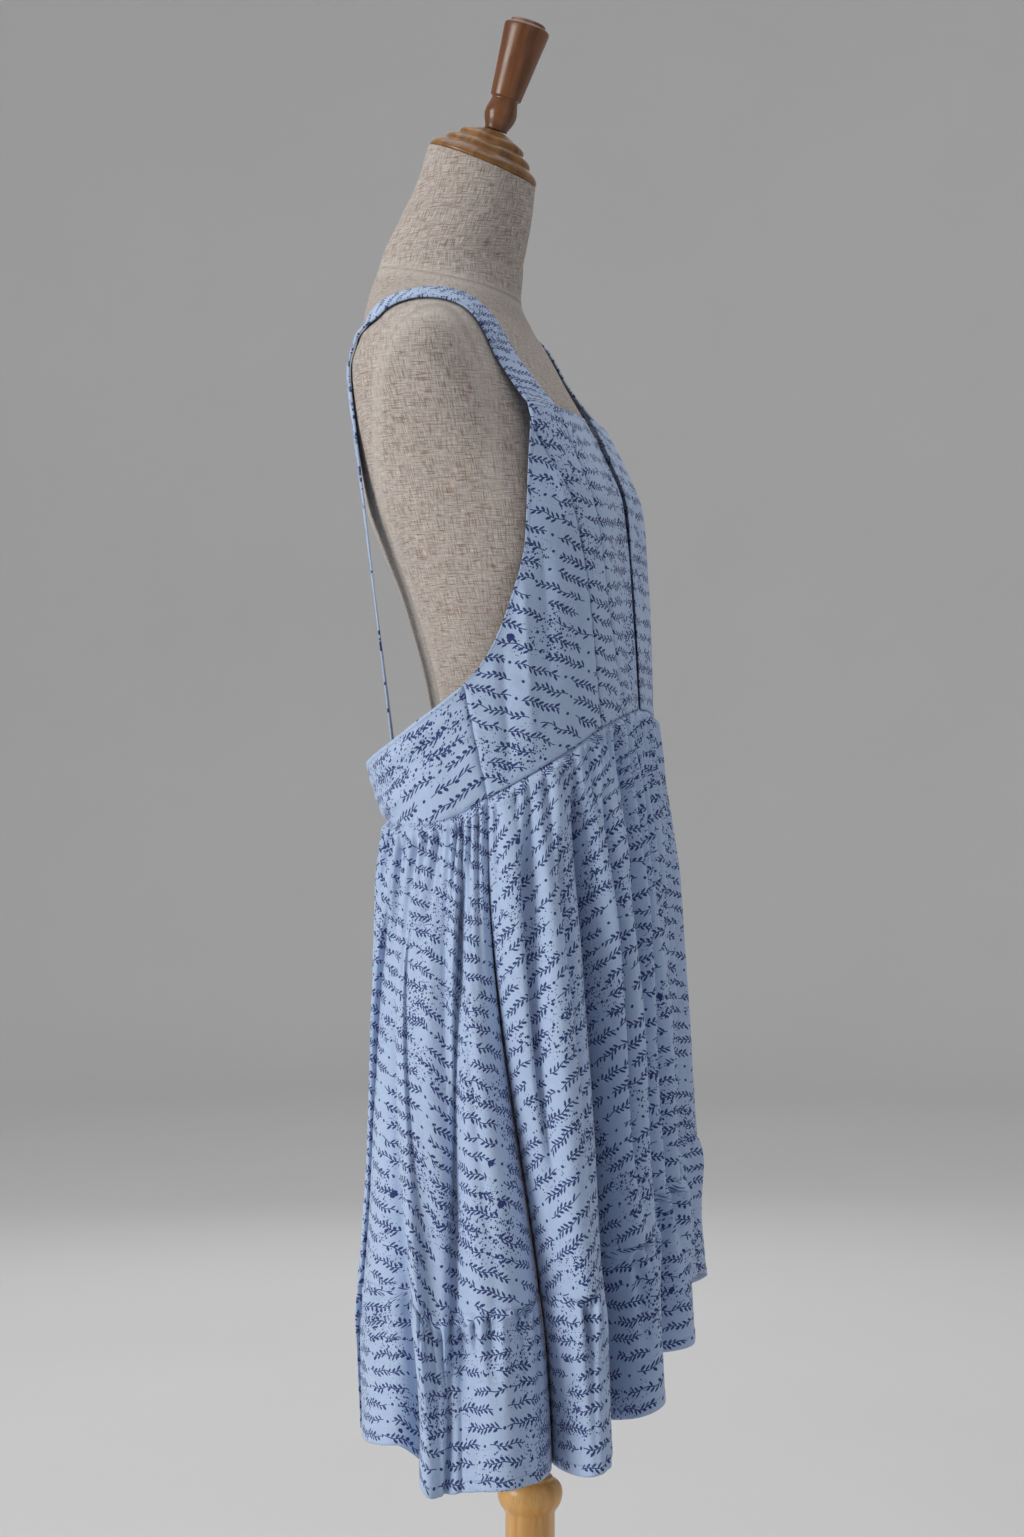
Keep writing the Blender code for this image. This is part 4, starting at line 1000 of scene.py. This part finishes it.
def gathers(along, drop, folds, seed, spacing, depth, reach_down, narrow=0.27):
    """Uneven gathers below a sewn edge: each has its own place, depth, length and lean."""
    luck = np.random.default_rng(seed)
    drop = np.maximum(drop, 0.0)
    total = np.zeros_like(along)
    at = 0.0
    while at < folds:
        at += spacing * luck.uniform(0.55, 1.55)
        deep = depth * luck.uniform(0.45, 1.3)
        length = reach_down * luck.uniform(0.45, 1.7)
        lean = luck.normal(0.0, 0.35)
        half = spacing * narrow * luck.uniform(0.75, 1.25) * (1 + drop / reach_down * 0.9)
        down = drop / length
        fade = (0.25 + 0.75 * eased(down / 0.18)) * np.exp(-(down ** 1.6))
        total -= deep * fade * np.exp(-np.abs((along - at - lean * drop) / half) ** 1.4)
    return total + 0.35 * depth * np.exp(-((drop / reach_down) ** 1.6))


def deep_folds(along, drop, table):
    """Narrow clefts between folds, each undercut so that the fold before it hangs over.

    Gives their depth and their shift round the skirt."""
    depth, shift = np.zeros_like(along), np.zeros_like(along)
    for top, foot, half, deepest, start, end in table:
        off = (along - mixed(top, foot, drop / (SKIRT_DROP + RUFFLE_DROP))) / half
        cleft = np.exp(-np.abs(off) ** 1.4) * eased((drop - start) / 0.07) * eased((end - drop) / 0.14)
        depth -= deepest * cleft
        shift -= 1.5 * half * cleft
    return depth, shift


def seam_turned_in(along, folds):
    """The cloth beside a side seam turns in, as its allowance does."""
    return -0.006 * (1 - eased(np.minimum(along, folds - along) / 0.035))


FORM_CLEARANCE = 0.0035
EDGE_MARGIN = 0.002


def within(along, folds):
    """Keeps a place that is counted in folds just inside the panel's side edges."""
    return np.clip(along, EDGE_MARGIN, folds - EDGE_MARGIN)


def clear_of_form(points):
    """Moves points of the skirt that would lie in the form, or too close to it, out to lie over it."""
    points = np.stack(points, axis=1)
    for n in np.nonzero(points[:, 2] > 0.69)[0]:
        at = Vector(points[n])
        hit, normal, _, distance = torso_surface.find_nearest(at)
        off = (at - hit).dot(normal)
        if off < FORM_CLEARANCE:
            points[n] = at + normal * (FORM_CLEARANCE - off)
    return tuple(points.T)


def arc_share(points, columns):
    """Each point's share of its row's length, so that the print isn't stretched where the cloth folds in."""
    rows = np.stack(points, axis=1).reshape(-1, columns + 1, 3)
    steps = np.linalg.norm(np.diff(rows, axis=1), axis=2)
    run = np.concatenate([np.zeros((len(rows), 1)), np.cumsum(steps, axis=1)], axis=1)
    return (run / run[:, -1:]).ravel(), run[:, -1]


TUCK = 0.004

# place at the waist and at the hem in folds, half width, depth, drop at its start and end
FRONT_CLEFTS = [
    (0.45, 0.22, 0.060, 0.016, 0.015, 0.36), (0.78, 0.70, 0.050, 0.015, 0.040, 0.66),
    (1.07, 1.10, 0.075, 0.026, 0.020, 0.66), (1.50, 1.38, 0.060, 0.024, 0.025, 0.42),
    (1.80, 1.68, 0.050, 0.018, 0.100, 0.66), (2.12, 1.98, 0.070, 0.024, 0.012, 0.66),
    (2.42, 2.42, 0.055, 0.018, 0.070, 0.50), (2.85, 2.80, 0.060, 0.018, 0.030, 0.66),
    (3.60, 3.52, 0.055, 0.014, 0.060, 0.66), (4.35, 4.44, 0.055, 0.015, 0.030, 0.66),
    (5.20, 5.30, 0.060, 0.016, 0.040, 0.66), (5.70, 5.62, 0.050, 0.014, 0.090, 0.55),
    (6.45, 6.40, 0.060, 0.016, 0.030, 0.66),
]
BACK_CLEFTS = [
    (0.55, 0.50, 0.060, 0.016, 0.040, 0.66), (1.30, 1.42, 0.055, 0.012, 0.060, 0.60),
    (2.40, 2.36, 0.055, 0.013, 0.120, 0.66), (3.55, 3.46, 0.050, 0.010, 0.090, 0.66),
    (4.50, 4.55, 0.055, 0.011, 0.140, 0.66), (5.45, 5.52, 0.055, 0.010, 0.080, 0.66),
    (6.50, 6.42, 0.055, 0.012, 0.060, 0.66), (7.30, 7.42, 0.110, 0.011, 0.030, 0.66),
    (7.88, 7.72, 0.150, 0.010, 0.050, 0.66), (8.60, 8.66, 0.130, 0.009, 0.060, 0.52),
    (9.55, 8.78, 0.075, 0.015, 0.020, 0.66),
]


def skirt_panel(name, node, valleys, clefts, columns, seed, shift, middling):
    """A gathered panel of the skirt. middling is the depth of its folds of middle size."""
    folds = len(valleys) - 1
    half_angle = math.radians(30)

    def fall(u, v):
        along = within(u * folds, folds)
        drop = SKIRT_DROP * (0.72 * v + 0.28 * v * v) - TUCK * (1 - v)
        out = gathers(along, drop, folds, seed, 0.150, 0.0092, 0.105)
        out += gathers(along, drop, folds, seed + 3, 0.40, middling, 0.55, 0.17)
        out += gathers(along, np.abs(SKIRT_DROP - drop), folds, seed + 50, 0.30, 0.0022, 0.030)
        out += 0.0013 * np.sin(along * 7.1 + 3 * np.sin(drop * 9)) * eased(drop / 0.2)
        cleft, undercut = deep_folds(along, drop, clefts)
        out = 0.030 * np.tanh((out + cleft) / 0.030)
        out *= eased(np.minimum(along, folds - along) / 0.10) * eased((drop + TUCK) / 0.012)
        out += seam_turned_in(along, folds) * eased(drop / 0.22)
        out -= 0.0016 * eased((0.006 - drop) / 0.009)
        turned_to = within(along + undercut, folds)
        return clear_of_form(skirt_face(valleys, turned_to, drop, out)), drop

    # Flat, the panel is a sector. Its radius comes from the cloth's own length round the folds, 0.3 m down.
    across = np.linspace(0.0, 1.0, columns + 1)
    level, _ = fall(across, np.full_like(across, 0.79))
    radius = arc_share(level, columns)[1][0] / (2 * half_angle) - 0.30

    def place(u, v):
        points, drop = fall(u, v)
        turn = half_angle * (2 * arc_share(points, columns)[0] - 1)
        far = radius + drop
        return points, {
            "print": (far * np.sin(turn) + shift, radius - far * np.cos(turn)),
            "stitch": (u, np.full_like(u, UNSTITCHED))}

    cloth(name, node, columns, 145, place)


skirt_panel("skirt_front_cloth", "skirt_front", FRONT_VALLEYS, FRONT_CLEFTS, 300, 11, 0.4, 0.0100)
skirt_panel("skirt_back_cloth", "skirt_back", BACK_VALLEYS, BACK_CLEFTS, 330, 23, 2.9, 0.0045)


# The flounce: two straight strips, gathered more tightly than the skirt and sewn round its lower edge.
# Its own edge is turned up twice and stitched 8 mm from the fold.

# drop, stand_off
RUFFLE = [
    (0.000, 0.0000), (0.012, 0.0045), (0.035, 0.0065), (0.075, 0.0055),
    (RUFFLE_DROP, 0.0060),
]


def ruffle_panel(name, node, valleys, clefts, columns, seed, shift):
    """A gathered strip of the flounce, under its skirt panel's folds."""
    folds = len(valleys) - 1

    def fall(u, v):
        along = within(u * folds, folds)
        drop = (RUFFLE_DROP + TUCK) * v - TUCK
        stand_off = read_table(RUFFLE, np.maximum(drop, 0.0))[:, 0]
        out = gathers(along, drop, folds, seed, 0.120, 0.0140, 0.045)
        out += gathers(along, drop, folds, seed + 7, 0.36, 0.0080, 0.24, 0.20) * eased(drop / 0.03)
        cleft, undercut = deep_folds(along, SKIRT_DROP + drop, clefts)
        out += cleft * 0.9
        out *= eased(np.minimum(along, folds - along) / 0.10)
        out += seam_turned_in(along, folds)
        out += stand_off - 0.0042 * eased((0.0035 - drop) / 0.006)
        out += 0.0006 * eased((drop - RUFFLE_DROP + 0.0085) / 0.001)
        turned_to = within(along + undercut, folds)
        return skirt_face(valleys, turned_to, SKIRT_DROP + 0.0006 + drop, out), drop

    across = np.linspace(0.0, 1.0, columns + 1)
    level, _ = fall(across, np.full_like(across, 0.5))
    width = arc_share(level, columns)[1][0]

    def place(u, v):
        points, drop = fall(u, v)
        along_strip = arc_share(points, columns)[0] * width
        return points, {
            "print": (along_strip + shift, -drop + 0.004),
            "stitch": (along_strip, RUFFLE_DROP - drop - 0.0045)}

    cloth(name, node, columns, 64, place)


ruffle_panel("ruffle_front_cloth", "ruffle_front", FRONT_VALLEYS, FRONT_CLEFTS, 400, 31, 0.15)
ruffle_panel("ruffle_back_cloth", "ruffle_back", BACK_VALLEYS, BACK_CLEFTS, 420, 43, 1.9)
